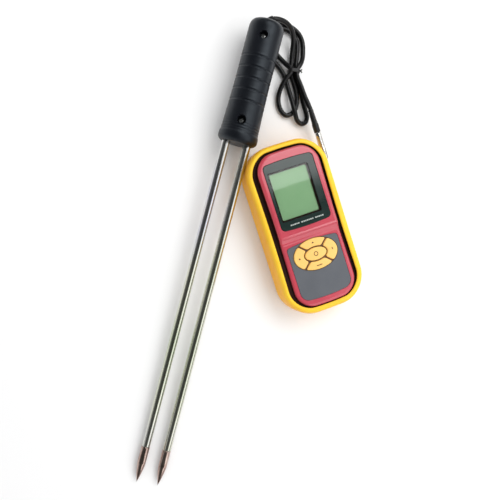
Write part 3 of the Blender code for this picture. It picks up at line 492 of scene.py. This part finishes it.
# greenish, bluish and warm patches in the nickel's colour stand in for coloured surroundings mirrored in the rods:
# painted reflection
reflection_tint = ramp(nt, noise(nt, 9.0, 1.5), [(0.30, (0.58, 0.62, 0.48)), (0.45, (0.70, 0.70, 0.60)), (0.58, (0.60, 0.60, 0.66)),
                                      (0.72, (0.76, 0.70, 0.60))])
nt.links.new(reflection_tint, b.inputs["Base Color"])
nt.links.new(maprange(nt, noise(nt, 160.0, 5.0), 0.3, 0.7, 0.13, 0.20), b.inputs["Roughness"])
bump(nt, b, noise(nt, 500.0, 3.0), 0.15, 0.000005)
mat_tip = metal("tip_steel", (0.40, 0.27, 0.23), (0.66, 0.53, 0.47), (0.13, 0.22), 90.0)
mat_plug = metal("plug_nickel", (0.66, 0.65, 0.63), (0.84, 0.83, 0.80), (0.10, 0.2), 150.0)
mat_screw = metal("zinc_screw", (0.62, 0.62, 0.62), (0.86, 0.86, 0.85), (0.18, 0.3), 220.0)
mat_steel = metal("spring_steel", (0.5, 0.5, 0.48), (0.72, 0.72, 0.69), (0.2, 0.32), 150.0)
mat_brass = metal("brass_plated", (0.62, 0.5, 0.26), (0.8, 0.68, 0.4), (0.2, 0.32), 150.0)
mat_black = plastic("black_moulding", (0.016, 0.016, 0.017), (0.03, 0.03, 0.031), (0.42, 0.55))
mat_block = plastic("block_nylon", (0.62, 0.59, 0.52), (0.76, 0.73, 0.66), (0.45, 0.6), 700.0, 0.00005, 0.5)
mat_board = plastic("board_green", (0.012, 0.10, 0.045), (0.022, 0.17, 0.07), (0.35, 0.5), 500.0, 0.00004, 0.5)
mat_holder = plastic("holder_white", (0.62, 0.62, 0.60), (0.74, 0.74, 0.72), (0.5, 0.6))
mat_pink = plastic("connector_pink", (0.5, 0.2, 0.26), (0.62, 0.3, 0.36), (0.55, 0.7))
mat_pad = plastic("mat_silicone", (0.022, 0.022, 0.023), (0.04, 0.04, 0.041), (0.6, 0.75))
mat_wire = plastic("wire_red", (0.42, 0.02, 0.02), (0.55, 0.04, 0.035), (0.4, 0.5))
mat_cell = plastic("cell_wrap", (0.02, 0.09, 0.30), (0.04, 0.15, 0.42), (0.22, 0.34), 300.0, 0.00003, 0.3, coat=0.3)

# the liquid crystal display: a pale green reflector with a faint dot texture
mat_lcd, nt, b = material("lcd_green")
nt.links.new(ramp(nt, noise(nt, 45.0, 2.0), [(0.3, (0.44, 0.73, 0.40)), (0.7, (0.48, 0.77, 0.43))]),
             b.inputs["Base Color"])
b.inputs["Roughness"].default_value = 0.35
bump(nt, b, noise(nt, 2500.0, 1.0), 0.15, 0.00001)

# the clear window: mostly see-through with a mirror sheen at its surface
mat_window, nt, b = material("window_clear")
b.inputs["Base Color"].default_value = (0.9, 0.95, 0.92, 1)
b.inputs["Roughness"].default_value = 0.04
nt.links.new(maprange(nt, noise(nt, 70.0), 0.3, 0.7, 0.03, 0.06), b.inputs["Roughness"])
clear = node(nt, "ShaderNodeBsdfTransparent")
clear.inputs["Color"].default_value = (0.93, 0.96, 0.94, 1)
gloss = node(nt, "ShaderNodeBsdfGlossy")
gloss.inputs["Roughness"].default_value = 0.035
fres = node(nt, "ShaderNodeFresnel")
fres.inputs["IOR"].default_value = 1.46
mixs = node(nt, "ShaderNodeMixShader")
nt.links.new(fres.outputs["Fac"], mixs.inputs["Fac"])
nt.links.new(clear.outputs["BSDF"], mixs.inputs[1])
nt.links.new(gloss.outputs["BSDF"], mixs.inputs[2])
nt.links.new(mixs.outputs["Shader"], nt.nodes["Material Output"].inputs["Surface"])

# ---------------------------------------------------------------- floor, light
mat_floor, nt, b = material("floor_pale")
nt.links.new(ramp(nt, noise(nt, 3.0, 3.0), [(0.2, (0.90, 0.90, 0.90)), (0.8, (0.93, 0.93, 0.93))]),
             b.inputs["Base Color"])
b.inputs["Roughness"].default_value = 0.9
b.inputs["Specular IOR Level"].default_value = 0.1
bm = bmesh.new()
bmesh.ops.create_grid(bm, x_segments=24, y_segments=24, size=4.0)
for v in bm.verts:
    v.co.z = -0.0004
floor = new_mesh("floor", bm, mat_floor, None, recalc=False)

world = bpy.data.worlds.new("studio")
scene.world = world
world.use_nodes = True
wn = world.node_tree
bg = wn.nodes["Background"]
tc = node(wn, "ShaderNodeTexCoord")
sp = node(wn, "ShaderNodeSeparateXYZ")
wn.links.new(tc.outputs["Generated"], sp.inputs["Vector"])
sky = ramp(wn, sp.outputs["Z"], [(0.0, (0.22, 0.22, 0.22)), (0.30, (0.25, 0.25, 0.26)), (0.55, (0.085, 0.088, 0.085)), (1.0, (0.045, 0.048, 0.045))])
wn.links.new(sky, bg.inputs["Color"])
bg.inputs["Strength"].default_value = 1.0
# the room's even fill light, and what mirrors in shiny pieces, are set apart
fill = node(wn, "ShaderNodeBackground")
fill.inputs["Color"].default_value = (1.0, 1.0, 1.0, 1.0)
fill.inputs["Strength"].default_value = 0.70
lp = node(wn, "ShaderNodeLightPath")
wmix = node(wn, "ShaderNodeMixShader")
wn.links.new(lp.outputs["Is Glossy Ray"], wmix.inputs["Fac"])
wn.links.new(fill.outputs["Background"], wmix.inputs[1])
wn.links.new(bg.outputs["Background"], wmix.inputs[2])
backdrop = node(wn, "ShaderNodeBackground")
backdrop.inputs["Color"].default_value = (1.0, 1.0, 1.0, 1.0)
backdrop.inputs["Strength"].default_value = 1.0
bmix = node(wn, "ShaderNodeMixShader")
wn.links.new(lp.outputs["Is Camera Ray"], bmix.inputs["Fac"])
wn.links.new(wmix.outputs["Shader"], bmix.inputs[1])
wn.links.new(backdrop.outputs["Background"], bmix.inputs[2])
wn.links.new(bmix.outputs["Shader"], wn.nodes["World Output"].inputs["Surface"])


def area(name, at, facing, along, size, size_y, radiance):
    """A rectangular softbox: size runs across, size_y runs along; its power follows from the brightness of its face."""
    z = -Vector(facing).normalized()
    y = Vector(along)
    y = (y - z * y.dot(z)).normalized()
    x = y.cross(z)
    ld = bpy.data.lights.new(name, "AREA")
    ld.shape, ld.size, ld.size_y = "RECTANGLE", size, size_y
    ld.energy = radiance * math.pi * size * size_y
    ob = bpy.data.objects.new(name, ld)
    scene.collection.objects.link(ob)
    mt = Matrix((x, y, z)).transposed().to_4x4()
    mt.translation = at
    ob.matrix_world = mt
    return ob


# one wide box overhead, whose near edge shows in the display's window; one long box beside the probe's rods
area("softbox_a", (0.74, 0.64, 1.03), (0, 0, -1), (0, 1, 0), 1.1, 1.2, 2.95)
area("softbox_b", (0.42, -0.78, 0.85), (-0.75, 0.5, -0.85), (0.54, 0.84, 0.0), 0.85, 1.9, 1.3)
area("softbox_c", (-1.4, 0.2, 0.32), (1.4, -0.2, -0.32), (0, 1, 0), 0.3, 1.3, 0.4)

# ---------------------------------------------------------------- cord
path_a = smooth_path(CORD_A, 1.2)
path_b = smooth_path(CORD_B, 1.2)
cord_hank = tube("cord_to_hank", path_a, CORD_R, mat_cord, 20)
cord_run = tube("cord_to_plug", path_b, CORD_R, mat_cord, 20)
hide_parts("cord_lead", "cord_hank")
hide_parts("cord_run")

# the strain relief: a flange inside the handle and a bent ribbed sleeve
rings = smooth_path([(0, 109.6, 0), (0, 113.5, 0), (0.5, 115.6, 0), (1.8, 117.3, 0), (3.4, 118.4, 0)], 0.25)
rad = []
for i in range(len(rings)):
    t = i / (len(rings) - 1)
    r = 3.15 - 0.12 * t
    if t > 0.45 and (int(t * 20) % 2 == 0):
        r -= 0.28
    rad.append(r)
rad[-1] = rad[-2] = 2.85
sleeve = tube("strain_relief_sleeve", rings, rad, mat_sleeve, 32, smooth=32.0)
bm = bmesh.new()
bm.from_mesh(sleeve.data)
flange = turned("tmp_flange", [(0, 111.1), (5.3, 111.1), (5.6, 110.8), (5.6, 108.7), (5.3, 108.4), (0, 108.4)], (0, 0),
                "Y", seg=40)
bm2 = bmesh.new()
bm2.from_mesh(flange.data)
tmp = bpy.data.meshes.new("tmp")
bm2.to_mesh(tmp)
bm2.free()
bm.from_mesh(tmp)
bpy.data.objects.remove(flange, do_unlink=True)
bmesh.ops.transform(bm, matrix=PM, verts=bm.verts[:])
bm.to_mesh(sleeve.data)
bm.free()
sleeve.data.set_sharp_from_angle(angle=math.radians(32))
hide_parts("cord_gland")
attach(sleeve, "probe")

# the tie: a thin band drawn round the four strands of the hank's waist
T = np.array([41.05, 141.76])
along = np.array([math.sin(math.radians(22)), math.cos(math.radians(22))])
across = np.array([along[1], -along[0]])
strands = [(-2.35, 3.5), (2.3, 3.5), (2.3, 8.05), (-2.4, 8.05)]
hull = []
for (cx, cz), a0 in zip([strands[0], strands[1], strands[2], strands[3]], (180, 270, 0, 90)):
    for k in range(9):
        a = math.radians(a0 + 90 * k / 8)
        hull.append((cx + math.cos(a) * 2.4, cz + math.sin(a) * 2.4))
bm = bmesh.new()
loops = []
for w, g in ((-1.7, 0.0), (-1.7, 0.55), (-1.5, 0.75), (1.5, 0.75), (1.7, 0.55), (1.7, 0.0)):
    ring = []
    for x, z in hull:
        c = np.array([x, z]) - np.array([-0.03, 5.77])
        n2 = c / np.linalg.norm(c)
        q = T + across * (x + n2[0] * g) + along * w
        ring.append(bm.verts.new((q[0] * MM, q[1] * MM, (z + n2[1] * g) * MM)))
    loops.append(ring)
for a, c in zip(loops, loops[1:] + loops[:1]):
    n = len(a)
    for k in range(n):
        j = (k + 1) % n
        bm.faces.new((a[k], a[j], c[j], c[k]))
tie = new_mesh("tie_band", bm, mat_sleeve, 40)
# the tie's twisted ends
ends = []
for s, dz in ((1, 0.0), (-1, 0.6)):
    base = T + across * 4.9
    pts = [(base[0], base[1], 9.2 + dz * 0.3),
           tuple(base + across * 1.1 + along * 0.6 * s) + (9.5 + dz,),
           tuple(base + across * 2.0 + along * 1.5 * s) + (9.0 + dz,)]
    ends.append(tube("tie_end_%s" % ("a" if s > 0 else "b"), smooth_path(pts, 0.6), 0.6, mat_sleeve, 12))
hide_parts("cord_tie")
for e in ends:
    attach(e, "meter")
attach(tie, "meter")

# ---------------------------------------------------------------- right-angle plug
prof = [(0, 79.4), (2.3, 79.4), (2.6, 79.2), (2.95, 78.8), (3.1, 78.4), (3.1, 76.4), (2.85, 76.2), (2.85, 75.6), (3.1, 75.4)]
h = 75.0
while h > 66.5:
    prof += [(3.1, h), (2.92, h - 0.3), (3.1, h - 0.6)]
    h -= 0.9
prof += [(3.1, 65.8), (2.8, 65.5), (2.8, 64.9), (3.1, 64.6), (3.1, 55.0), (2.95, 54.2), (2.6, 53.6), (2.2, 53.4), (0, 53.4)]
barrel = turned("plug_body", prof, (43.4, 12.0), "Y", mat_plug, 56)
nose = cutter(turned("plug_nose_cut", [(0, 43.4), (2.9, 43.4), (2.9, 37.4), (2.6, 37.1), (2.6, 36.7), (2.9, 36.4),
                                       (2.9, 35.6), (2.6, 35.3), (0, 35.3)], (58.0, 12.0), "X", None, 40))
cut(barrel, nose, "UNION")
bake(barrel)
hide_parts("plug_barrel")
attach(barrel, "plug")
pin = turned("plug_contact_pin", [(0, 35.0), (1.75, 35.0), (1.75, 31.6), (1.6, 31.5), (1.6, 31.0), (1.75, 30.9),
                                  (1.75, 27.6), (1.6, 27.5), (1.6, 27.0), (1.75, 26.9), (1.75, 24.7), (1.5, 24.2),
                                  (1.32, 23.9), (1.5, 23.5), (1.7, 23.1), (1.6, 22.5), (1.2, 21.6), (0.7, 21.0), (0, 20.8)],
             (58.0, 12.0), "X", mat_plug, 32)
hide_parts("plug_pin")
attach(pin, "plug")
prof = [(0, 102.0), (2.3, 102.0), (2.5, 101.6)]
h = 101.0
while h > 88.5:
    t = (101.0 - h) / 17.0
    r = 2.5 + 0.45 * min(1, t * 1.3)
    prof += [(r, h), (r, h - 0.7), (r - 0.38, h - 0.85), (r - 0.38, h - 1.25)]
    h -= 1.4
prof += [(3.1, h), (3.1, 80.2), (2.85, 79.8), (0, 79.7)]
pboot = turned("plug_strain_relief", prof, (43.4, 12.0), "Y", mat_sleeve, 48)
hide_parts("plug_boot")
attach(pboot, "plug")

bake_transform(cord_hank)
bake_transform(cord_run)

# ================================================================ the boot
SEG = dict(seg=22, side=30, end=16)


def case_line(inset, grow=0.0):
    d = inset - grow
    return np.array(outline(33.75 - d, 76.75 - d, 20.0 - d, 1.8, 0.7, **SEG))


def boot_line(inset):
    return np.array(outline(40.0 - inset, 80.0 - inset, 27.0 - inset, 1.2, **SEG))


O = boot_line(0.0)
I = np.array(outline(33.95, 74.3, 18.8, 2.5, 0.7, centre=(-0.75, 0.6), **SEG))
rings = [(boot_line(i), z) for i, z in ((4.0, 0.0), (2.6, 0.22), (1.4, 0.8), (0.75, 1.7), (0.32, 3.0), (0.1, 5.0),
                                         (0.0, 8.0), (0.0, 12.0), (0.0, 16.0), (0.0, 19.5))]
for s, z in ((0, 22), (0.012, 23.6), (0.035, 25.1), (0.075, 26.5), (0.125, 27.6), (0.19, 28.6), (0.27, 29.45), (0.36, 30.1),
             (0.46, 30.6), (0.57, 30.9), (0.68, 31.0), (0.78, 31.0), (0.87, 30.88), (0.94, 30.62), (0.985, 30.25),
             (1.0, 29.8), (1.0, 28.6), (1.0, 27.4)):
    rings.append((O + (I - O) * s, z))
LIP_BAND = len(rings) - 4
rings += [(case_line(0.3), 27.3), (case_line(0, 0.3), 27.2), (case_line(0, 0.3), 20.0), (case_line(0, 0.3), 10.0),
          (case_line(0, 0.3), 4.0), (case_line(0.9), 3.05)]
boot = new_mesh("boot_shell", loft([([tuple(p) for p in r], z) for r, z in rings]), mat_boot, 40)
# the lip's inner wall and the pocket beneath it take the near-black second material: painted shade in the channel round
# the case
boot.data.materials.append(mat_painted_shade)
per = len(O)
for i, poly in enumerate(boot.data.polygons):
    if i // per >= LIP_BAND and i < per * (len(rings) - 1):
        poly.material_index = 1
win = cutter(prism("boot_window_cut", outline(22.5, 30.0, 4.0, centre=(0, -44.0), seg=12, side=2, end=2), -1.0, 4.0))
cut(boot, win)
hole = cutter(turned("boot_hole_cut", [(0, 45.0), (5.0, 45.0), (4.6, 39.2), (4.6, 30.0), (0, 30.0)], (58.0, 12.0), "X",
                     None, 40))
cut(boot, hole)
bake(boot, 40)
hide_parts("rubber_boot")
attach(boot, "meter")

# ================================================================ the front case
def film_outline(grow=0.0):
    """The keypad film: small corners at the display end, wide ones at the other."""
    big = outline(25.2 + grow, 26.9 + grow, 7.0, 2.0, 0.0, (0.0, -39.4), seg=14, side=8, end=10)
    small = outline(25.2 + grow, 26.9 + grow, 2.6, 2.0, 0.0, (0.0, -39.4), seg=14, side=8, end=10)
    return [s if s[1] > -39.4 else g for s, g in zip(small, big)]


DROP_STOPS = [(0.6, 0.0), (-3.6, 0.05), (-4.6, 0.22), (-6.0, 0.75), (-8.5, 1.85), (-9.8, 2.3), (-10.8, 2.47), (-11.6, 2.5)]
# slim beads stand across the slope, where the display's end turns down to the keypad
BEADS = [(-4.6, 0.42, 0.85), (-10.0, 0.30, 0.8)]


def drop(y):
    ys = [s[0] for s in DROP_STOPS][::-1]
    ds = [s[1] for s in DROP_STOPS][::-1]
    d = float(np.interp(y, ys, ds))
    for y0, hgt, w in BEADS:
        d -= hgt * math.exp(-((y - y0) / w) ** 2)
    return d


def step_down(ob):
    bm = bmesh.new()
    bm.from_mesh(ob.data)
    y = 1.2
    while y > -13.0:
        bmesh.ops.bisect_plane(bm, geom=bm.verts[:] + bm.edges[:] + bm.faces[:], plane_co=(0, y * MM, 0),
                               plane_no=(0, 1, 0))
        y -= 0.4
    for v in bm.verts:
        if v.co.z > 27.5 * MM:
            v.co.z -= drop(v.co.y / MM) * MM
    bm.to_mesh(ob.data)
    bm.free()
    return ob


# the top is one grid-free cap, so it is lofted inward a little before the cap closes it
rings = [(case_line(0), 16.15), (case_line(0), 20.0), (case_line(0), 25.7), (case_line(0.18), 26.35),
         (case_line(0.6), 26.85), (case_line(1.2), 27.02), (case_line(3.1), 27.05), (case_line(3.38), 27.25),
         (case_line(3.5), 27.7), (case_line(3.6), 28.6), (case_line(3.7), 31.2), (case_line(3.8), 32.0),
         (case_line(4.05), 32.75), (case_line(4.5), 33.35), (case_line(5.1), 33.75), (case_line(5.8), 33.95),
         (case_line(6.6), 34.0)]
front = new_mesh("front_shell", loft([([tuple(p) for p in r], z) for r, z in rings]), mat_red, 40)
# the case's shoulder and flank below the raised face take the near-black second material: painted shade in the channel
front.data.materials.append(mat_painted_shade)
for i, poly in enumerate(front.data.polygons):
    if 2 <= i // per < 11 and i < per * (len(rings) - 1):
        poly.material_index = 1
step_down(front)
hollow_f = new_mesh("front_hollow_cut", loft([([tuple(p) for p in case_line(2.2)], 15.0),
                                              ([tuple(p) for p in case_line(2.2)], 24.8),
                                              ([tuple(p) for p in case_line(5.3)], 24.9),
                                              ([tuple(p) for p in case_line(5.7)], 31.8)]))
step_down(hollow_f)
cut(front, cutter(hollow_f))
# walls cut by a tool passed through this take the near-black second material: painted shade inside the display, panel
# and key openings
def dark(ob):
    for poly in ob.data.polygons:
        poly.material_index = 1
    return ob


cut(front, cutter(dark(prism("panel_cut", outline(24.6, 31.9, 3.8, 1.2, 0.0, (0.0, 32.8), seg=12, side=8, end=8), 32.6,
                             36.0))))
cut(front, cutter(dark(prism("lcd_cut", outline(18.1, 21.5, 1.0, 0, 0, (-2.1, 32.8), seg=6, side=2, end=2), 30.0,
                             36.0))))
cut(front, cutter(prism("keypad_cut", film_outline(0.3), 30.4, 36.0)))
cut(front, cutter(dark(prism("keys_cut", ellipse(22.0, 15.0, (0, -26.3), 96), 27.0, 36.0))))
bake(front, 40)
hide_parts("front_case")
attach(front, "meter")
# the seam's rim that closes over the boot's lip, kept from the CAD piece
paint("rear_case", mat_red)

# ================================================================ display
bez = prism("bezel_frame", outline(24.3, 31.6, 3.8, 1.2, 0.0, (0.0, 32.8), seg=14, side=10, end=12), 32.9, 34.06, mat_bezel,
            edge=0.35)
cut(bez, cutter(prism("bezel_cut", outline(19.6, 23.0, 1.6, 0, 0, (-2.1, 32.8), seg=8, side=2, end=2), 30.0, 36.0)))
bake(bez)
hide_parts("display_bezel")
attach(bez, "meter")
pane = prism("window_pane", outline(19.3, 22.7, 1.4, 0, 0, (-2.1, 32.8), seg=8, side=6, end=6), 32.9, 33.85, mat_window,
             edge=0.12, steps=2)
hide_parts("display_window")
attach(pane, "meter")
glass = prism("lcd_cell", outline(19.4, 22.8, 0.6, 0, 0, (-2.1, 32.8), seg=4, side=8, end=8), 28.7, 31.3, mat_lcd, edge=0.15,
              steps=2)
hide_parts("lcd_glass")
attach(glass, "meter")
paint("lcd_holder", mat_holder)
paint("lcd_connector", mat_pink)
paint("main_board", mat_board)
paint("controller_chip", mat_black)
paint("jack_socket", mat_black)
paint("keypad_mat", mat_pad)
for n in ("case_screw_1", "case_screw_2", "case_screw_3", "case_screw_4", "board_screw_1", "board_screw_2"):
    paint(n, mat_screw)

# a row of small pale ticks under the display
bm = bmesh.new()
x = -15.2
k = 0
widths = [1.5, 1.0, 1.7, 1.0, 1.4, 0.0, 1.7, 1.2, 1.0, 1.4, 1.0, 1.5, 1.1, 0.0, 1.5, 1.0, 1.3, 1.0, 1.5]
for w in widths:
    if w > 0:
        mtx = Matrix.Translation(((x + w / 2) * MM, 5.55 * MM, 34.085 * MM)) @ Matrix.Diagonal((w * MM, 1.15 * MM, 0.06 * MM, 1))
        r = bmesh.ops.create_cube(bm, size=1.0, matrix=mtx)
    x += (w if w > 0 else 0.9) + 0.5
ticks = new_mesh("panel_ticks", bm, mat_tick, 30)
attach(ticks, "meter")

# ================================================================ keypad
panel = prism("keypad_plate", film_outline(), 30.7, 31.62,
              mat_panel, edge=0.2, steps=2)
cut(panel, cutter(prism("plate_cut", ellipse(22.0, 15.0, (0, -26.3), 96), 27.0, 36.0)))
bake(panel)
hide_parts("keypad_panel")
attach(panel, "meter")

KEY_Y = -26.3


def key_sector(t0, t1, a_out, b_out, a_in, b_in, trim, n=36):
    pts = []
    for k in range(n + 1):
        t = math.radians(t0 + trim + (t1 - t0 - 2 * trim) * k / n)
        pts.append((a_out * math.cos(t), KEY_Y + b_out * math.sin(t)))
    for k in range(n + 1):
        t = math.radians(t1 - 2 * trim - (t1 - t0 - 4 * trim) * k / n)
        pts.append((a_in * math.cos(t), KEY_Y + b_in * math.sin(t)))
    return pts


def soften(pts, step=0.5, rounds=10):
    """The same closed outline, evenly spaced, with its corners rounded."""
    p = np.array(pts + pts[:1], float)
    s = np.concatenate([[0], np.cumsum(np.linalg.norm(np.diff(p, axis=0), axis=1))])
    n = int(s[-1] / step)
    at = np.linspace(0, s[-1], n, endpoint=False)
    q = np.stack([np.interp(at, s, p[:, k]) for k in range(2)], 1)
    for _ in range(rounds):
        q = q + 0.5 * ((np.roll(q, 1, 0) + np.roll(q, -1, 0)) / 2 - q)
    return [tuple(c) for c in q]


def key_cap(name, pts, z0, z1, mat, crown=0.35, edge=0.9):
    """A key with a rounded rim and a slightly domed top."""
    P2 = np.array(pts, float)
    c = P2.mean(0)
    d = np.roll(P2, -1, 0) - np.roll(P2, 1, 0)
    nrm = np.stack([d[:, 1], -d[:, 0]], 1)
    nrm /= np.linalg.norm(nrm, axis=1, keepdims=True)
    rings = [([tuple(p) for p in P2], z0), ([tuple(p) for p in P2], z1 - edge)]
    for k in range(1, 6):
        a = math.radians(90 * k / 5)
        rings.append(([tuple(p) for p in P2 - nrm * edge * (1 - math.cos(a)) * 0.8], z1 - edge * (1 - math.sin(a))))
    base = P2 - nrm * edge * 0.8
    for f in (0.86, 0.68, 0.45, 0.2):
        rings.append(([tuple(p) for p in c + (base - c) * f], z1 + crown * (1 - f) ** 0.7 * 0.8))
    return new_mesh(name, loft(rings), mat, 40)


SPLIT = 50.0
SPANS = {"key_right": (-SPLIT, SPLIT), "key_up": (SPLIT, 180 - SPLIT), "key_left": (180 - SPLIT, 180 + SPLIT),
         "key_down": (180 + SPLIT, 360 - SPLIT)}
for name, (t0, t1) in SPANS.items():
    pts = soften(key_sector(t0, t1, 21.5, 14.5, 11.8, 7.0, 2.4))
    cap = key_cap(name + "_cap", pts, 28.0, 32.45, mat_key, 0.25)
    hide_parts(name)
    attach(cap, name)
cap = key_cap("key_centre_cap", ellipse(10.6, 5.8, (0, KEY_Y), 96), 28.0, 32.45, mat_key, 0.3)
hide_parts("key_centre")
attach(cap, "key_centre")

# brown well between the keys, and a thin brown line round them: painted shade in the gaps round the keys
well = prism("key_well", ellipse(21.95, 14.95, (0, KEY_Y), 96), 27.2, 30.9, mat_ink_and_gap_shade)
keyhole = []
for name, (t0, t1) in SPANS.items():
    c2 = cutter(prism(name + "_gap_cut", soften(key_sector(t0, t1, 21.7, 14.7, 11.6, 6.8, 2.0)), 26.0, 34.0))
    cut(well, c2)
cut(well, cutter(prism("centre_gap_cut", ellipse(10.9, 6.1, (0, KEY_Y), 96), 26.0, 34.0)))
bake(well)
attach(well, "meter")


def mark(name, body, pts, z=32.72, h=0.1):
    ob = prism(name, pts, z, z + h, mat_ink_and_gap_shade)
    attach(ob, body)
    return ob


def ring_mark(name, body, cx, cy, r0, r1, z):
    prof = [(r1, z), (r1, z + 0.1), (r0, z + 0.1), (r0, z), (r1, z)]
    ob = turned(name, prof, (cx, cy), "Z", mat_ink_and_gap_shade, 40)
    bm = bmesh.new()
    bm.from_mesh(ob.data)
    bmesh.ops.remove_doubles(bm, verts=bm.verts[:], dist=1e-7)
    bm.to_mesh(ob.data)
    bm.free()
    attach(ob, body)
    return ob


mark("mark_up", "key_up", [(-1.2, -16.2), (1.2, -16.2), (0, -14.7)])
mark("mark_down", "key_down", outline(2.9, 0.35, 0.3, centre=(0, -37.2), seg=6, side=1, end=4))
mark("mark_left", "key_left", outline(0.75, 0.75, 0.7, centre=(-16.4, KEY_Y), seg=8, side=1, end=1))
mark("mark_right", "key_right", outline(0.4, 1.1, 0.3, centre=(16.4, KEY_Y), seg=6, side=4, end=1))
ring_mark("mark_centre", "key_centre", 0.0, KEY_Y, 1.5, 2.1, 32.66)

# ================================================================ battery side
paint("battery_cover", mat_red)
for n in ("battery_1", "battery_2", "battery_3"):
    paint(n, mat_cell)
paint("battery_contact_upper", mat_steel)
paint("battery_contact_lower", mat_steel)

# ================================================================ handle
GROOVES = [58.0 + 10.2 * k for k in range(-2, 3)]


def grip_radius(h):
    r = 16.1 + 1.95 * max(0.0, (60.0 - h) / 60.0) ** 1.5
    for g in GROOVES:
        r -= 0.5 * math.exp(-((h - g) / 0.62) ** 2)
        r += 0.10 * math.exp(-((h - g - 1.5) / 0.7) ** 2) + 0.10 * math.exp(-((h - g + 1.5) / 0.7) ** 2)
    for g in (17.2, 14.6, 12.2):
        r -= 0.22 * math.exp(-((h - g) / 0.35) ** 2)
    return r


prof = [(0.0, 114.0), (6.0, 114.0), (9.6, 113.95), (11.2, 113.75), (12.5, 113.3), (13.8, 112.5), (14.8, 111.4),
        (15.45, 110.1), (15.87, 108.6), (16.07, 106.8), (16.1, 105.0)]
h = 103.0
while h > 10.2:
    prof.append((grip_radius(h), h))
    h -= 0.3 if (h < 84 and h > 34) or h < 20 else 1.0
prof += [(17.65, 9.9), (17.85, 9.3), (18.15, 8.7), (18.3, 7.9), (18.3, 4.2), (18.1, 3.3), (17.6, 2.4), (16.6, 1.3), (15.6, 0.6),
         (14.6, 0.15), (13.8, 0.0), (0.0, 0.0)]
cavity = [(0.0, 111.4), (9.0, 111.4), (11.2, 110.4), (12.6, 108.6), (13.6, 105.5), (13.8, 103.0), (13.8, 3.6), (0.0, 3.6)]
hollow = cutter(turned("grip_hollow_cut", cavity, (0, 0), "Y", None, 48, PM))
bores = [cutter(turned("rod_bore_cut_%d" % i, [(0, 6.0), (4.2, 6.0), (4.2, 0.6), (4.7, -0.2), (4.7, -3.0), (0, -3.0)],
                       (s * 9.8, 0), "Y", None, 40, PM)) for i, s in ((1, -1), (2, 1))]
gland = cutter(turned("gland_cut", [(0, 117.0), (4.4, 117.0), (4.4, 113.9), (3.9, 113.3), (3.9, 108.0), (0, 108.0)],
                      (0, 0), "Y", None, 40, PM))
SCREWS = (97.4, 19.8)
for name, sign in (("handle_upper_shell", 1), ("handle_lower_shell", -1)):
    grip = turned("grip_" + name[7:12], prof, (0, 0), "Y", mat_grip, 112, GM)
    cut(grip, hollow)
    lo3, hi3 = ((-30, -10, -30), (30, 130, 0.13)) if sign > 0 else ((-30, -10, -0.13), (30, 130, 30))
    half = boxy("half_cut_%d" % sign, lo3, hi3)
    half.data.transform(GM)
    cut(grip, cutter(half))
    for i, y in enumerate(SCREWS):
        if sign > 0:
            cut(grip, cutter(turned("well_%d" % i, [(0, 15.4), (5.2, 15.4), (5.2, 7.6), (0, 7.6)], (0, y), "Z", None, 40,
                                    GM)), "UNION")
            cut(grip, cutter(turned("counterbore_%d" % i, [(0, 30.0), (4.6, 30.0), (4.45, 16.6), (3.95, 16.1), (3.85, 15.6),
                                                           (3.85, 9.0), (0, 9.0)], (0, y), "Z", None, 48, GM)))
            cut(grip, cutter(turned("clear_%d" % i, [(0, 12.0), (1.8, 12.0), (1.8, 0.0), (0, 0.0)], (0, y), "Z", None, 24,
                                    GM)))
        elif i == 0:
            cut(grip, cutter(turned("post_%d" % i, [(0, 7.2), (3.6, 7.2), (3.6, -15.2), (0, -15.2)], (0, y), "Z", None, 32,
                                    GM)), "UNION")
            cut(grip, cutter(turned("pilot_%d" % i, [(0, 9.0), (1.8, 9.0), (1.8, -10.0), (0, -10.0)], (0, y), "Z", None, 24,
                                    GM)))
    for c2 in bores:
        cut(grip, c2)
    cut(grip, gland)
    bake(grip, 34)
    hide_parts(name)
    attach(grip, "probe")

# screws deep in their wells, with a cross slot
for i, (name, y) in enumerate((("handle_screw_far", SCREWS[0]), ("handle_screw_near", SCREWS[1]))):
    sc = turned(name + "_head", [(0, 11.0), (1.1, 10.96), (2.0, 10.75), (2.6, 10.35), (2.85, 9.9), (2.85, 9.3), (1.45, 9.3),
                                 (1.45, -7.2), (0.6, -7.9), (0, -8.0)], (0, y), "Z", mat_screw, 40, GM)
    for a in (25, 115):
        slot_c = boxy("cross_%d_%d" % (i, a), (-1.5, -0.3, 10.2), (1.5, 0.3, 13.0))
        slot_c.data.transform(GM @ Matrix.Translation((0, y * MM, 0)) @ Matrix.Rotation(math.radians(a), 4, "Z"))
        cut(sc, cutter(slot_c))
    bake(sc)
    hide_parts(name)
    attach(sc, "probe")

# ================================================================ rods and tips
for side, s in (("left", -1), ("right", 1)):
    x = s * 9.8
    rod = turned("rod_%s_tube" % side, [(0, 34.0), (3.5, 34.0), (3.9, 33.6), (3.9, 0.0), (3.9, -60.0), (3.9, -120.0),
                                        (3.9, -180.0), (3.9, -240.0), (3.9, -287.3), (3.7, -287.85), (0, -287.85)],
                 (x, 0), "Y", mat_rod, 72, PM)
    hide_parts("rod_" + side)
    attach(rod, "probe")
    prof = [(0, -288.15), (3.7, -288.15), (3.9, -288.4), (3.9, -303.2)]
    for k in range(25):
        t = k / 24
        hh = -303.2 - 18.8 * t
        r = 3.9 * math.sqrt(max(0.0, 1 - t ** 1.75)) if t < 0.995 else 0.0
        r = 3.9 * (1 - t ** 1.45) if t < 1 else 0.0
        prof.append((max(r, 0.0), hh))
    tip = turned("tip_%s_point" % side, prof, (x, 0), "Y", mat_tip, 64, PM)
    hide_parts("tip_" + side)
    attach(tip, "probe")
    paint("lug_" + side, mat_brass)
    paint("lug_screw_" + side, mat_brass)
paint("wire_left", mat_wire)
paint("wire_right", mat_black)
paint("rod_mount_block", mat_block)
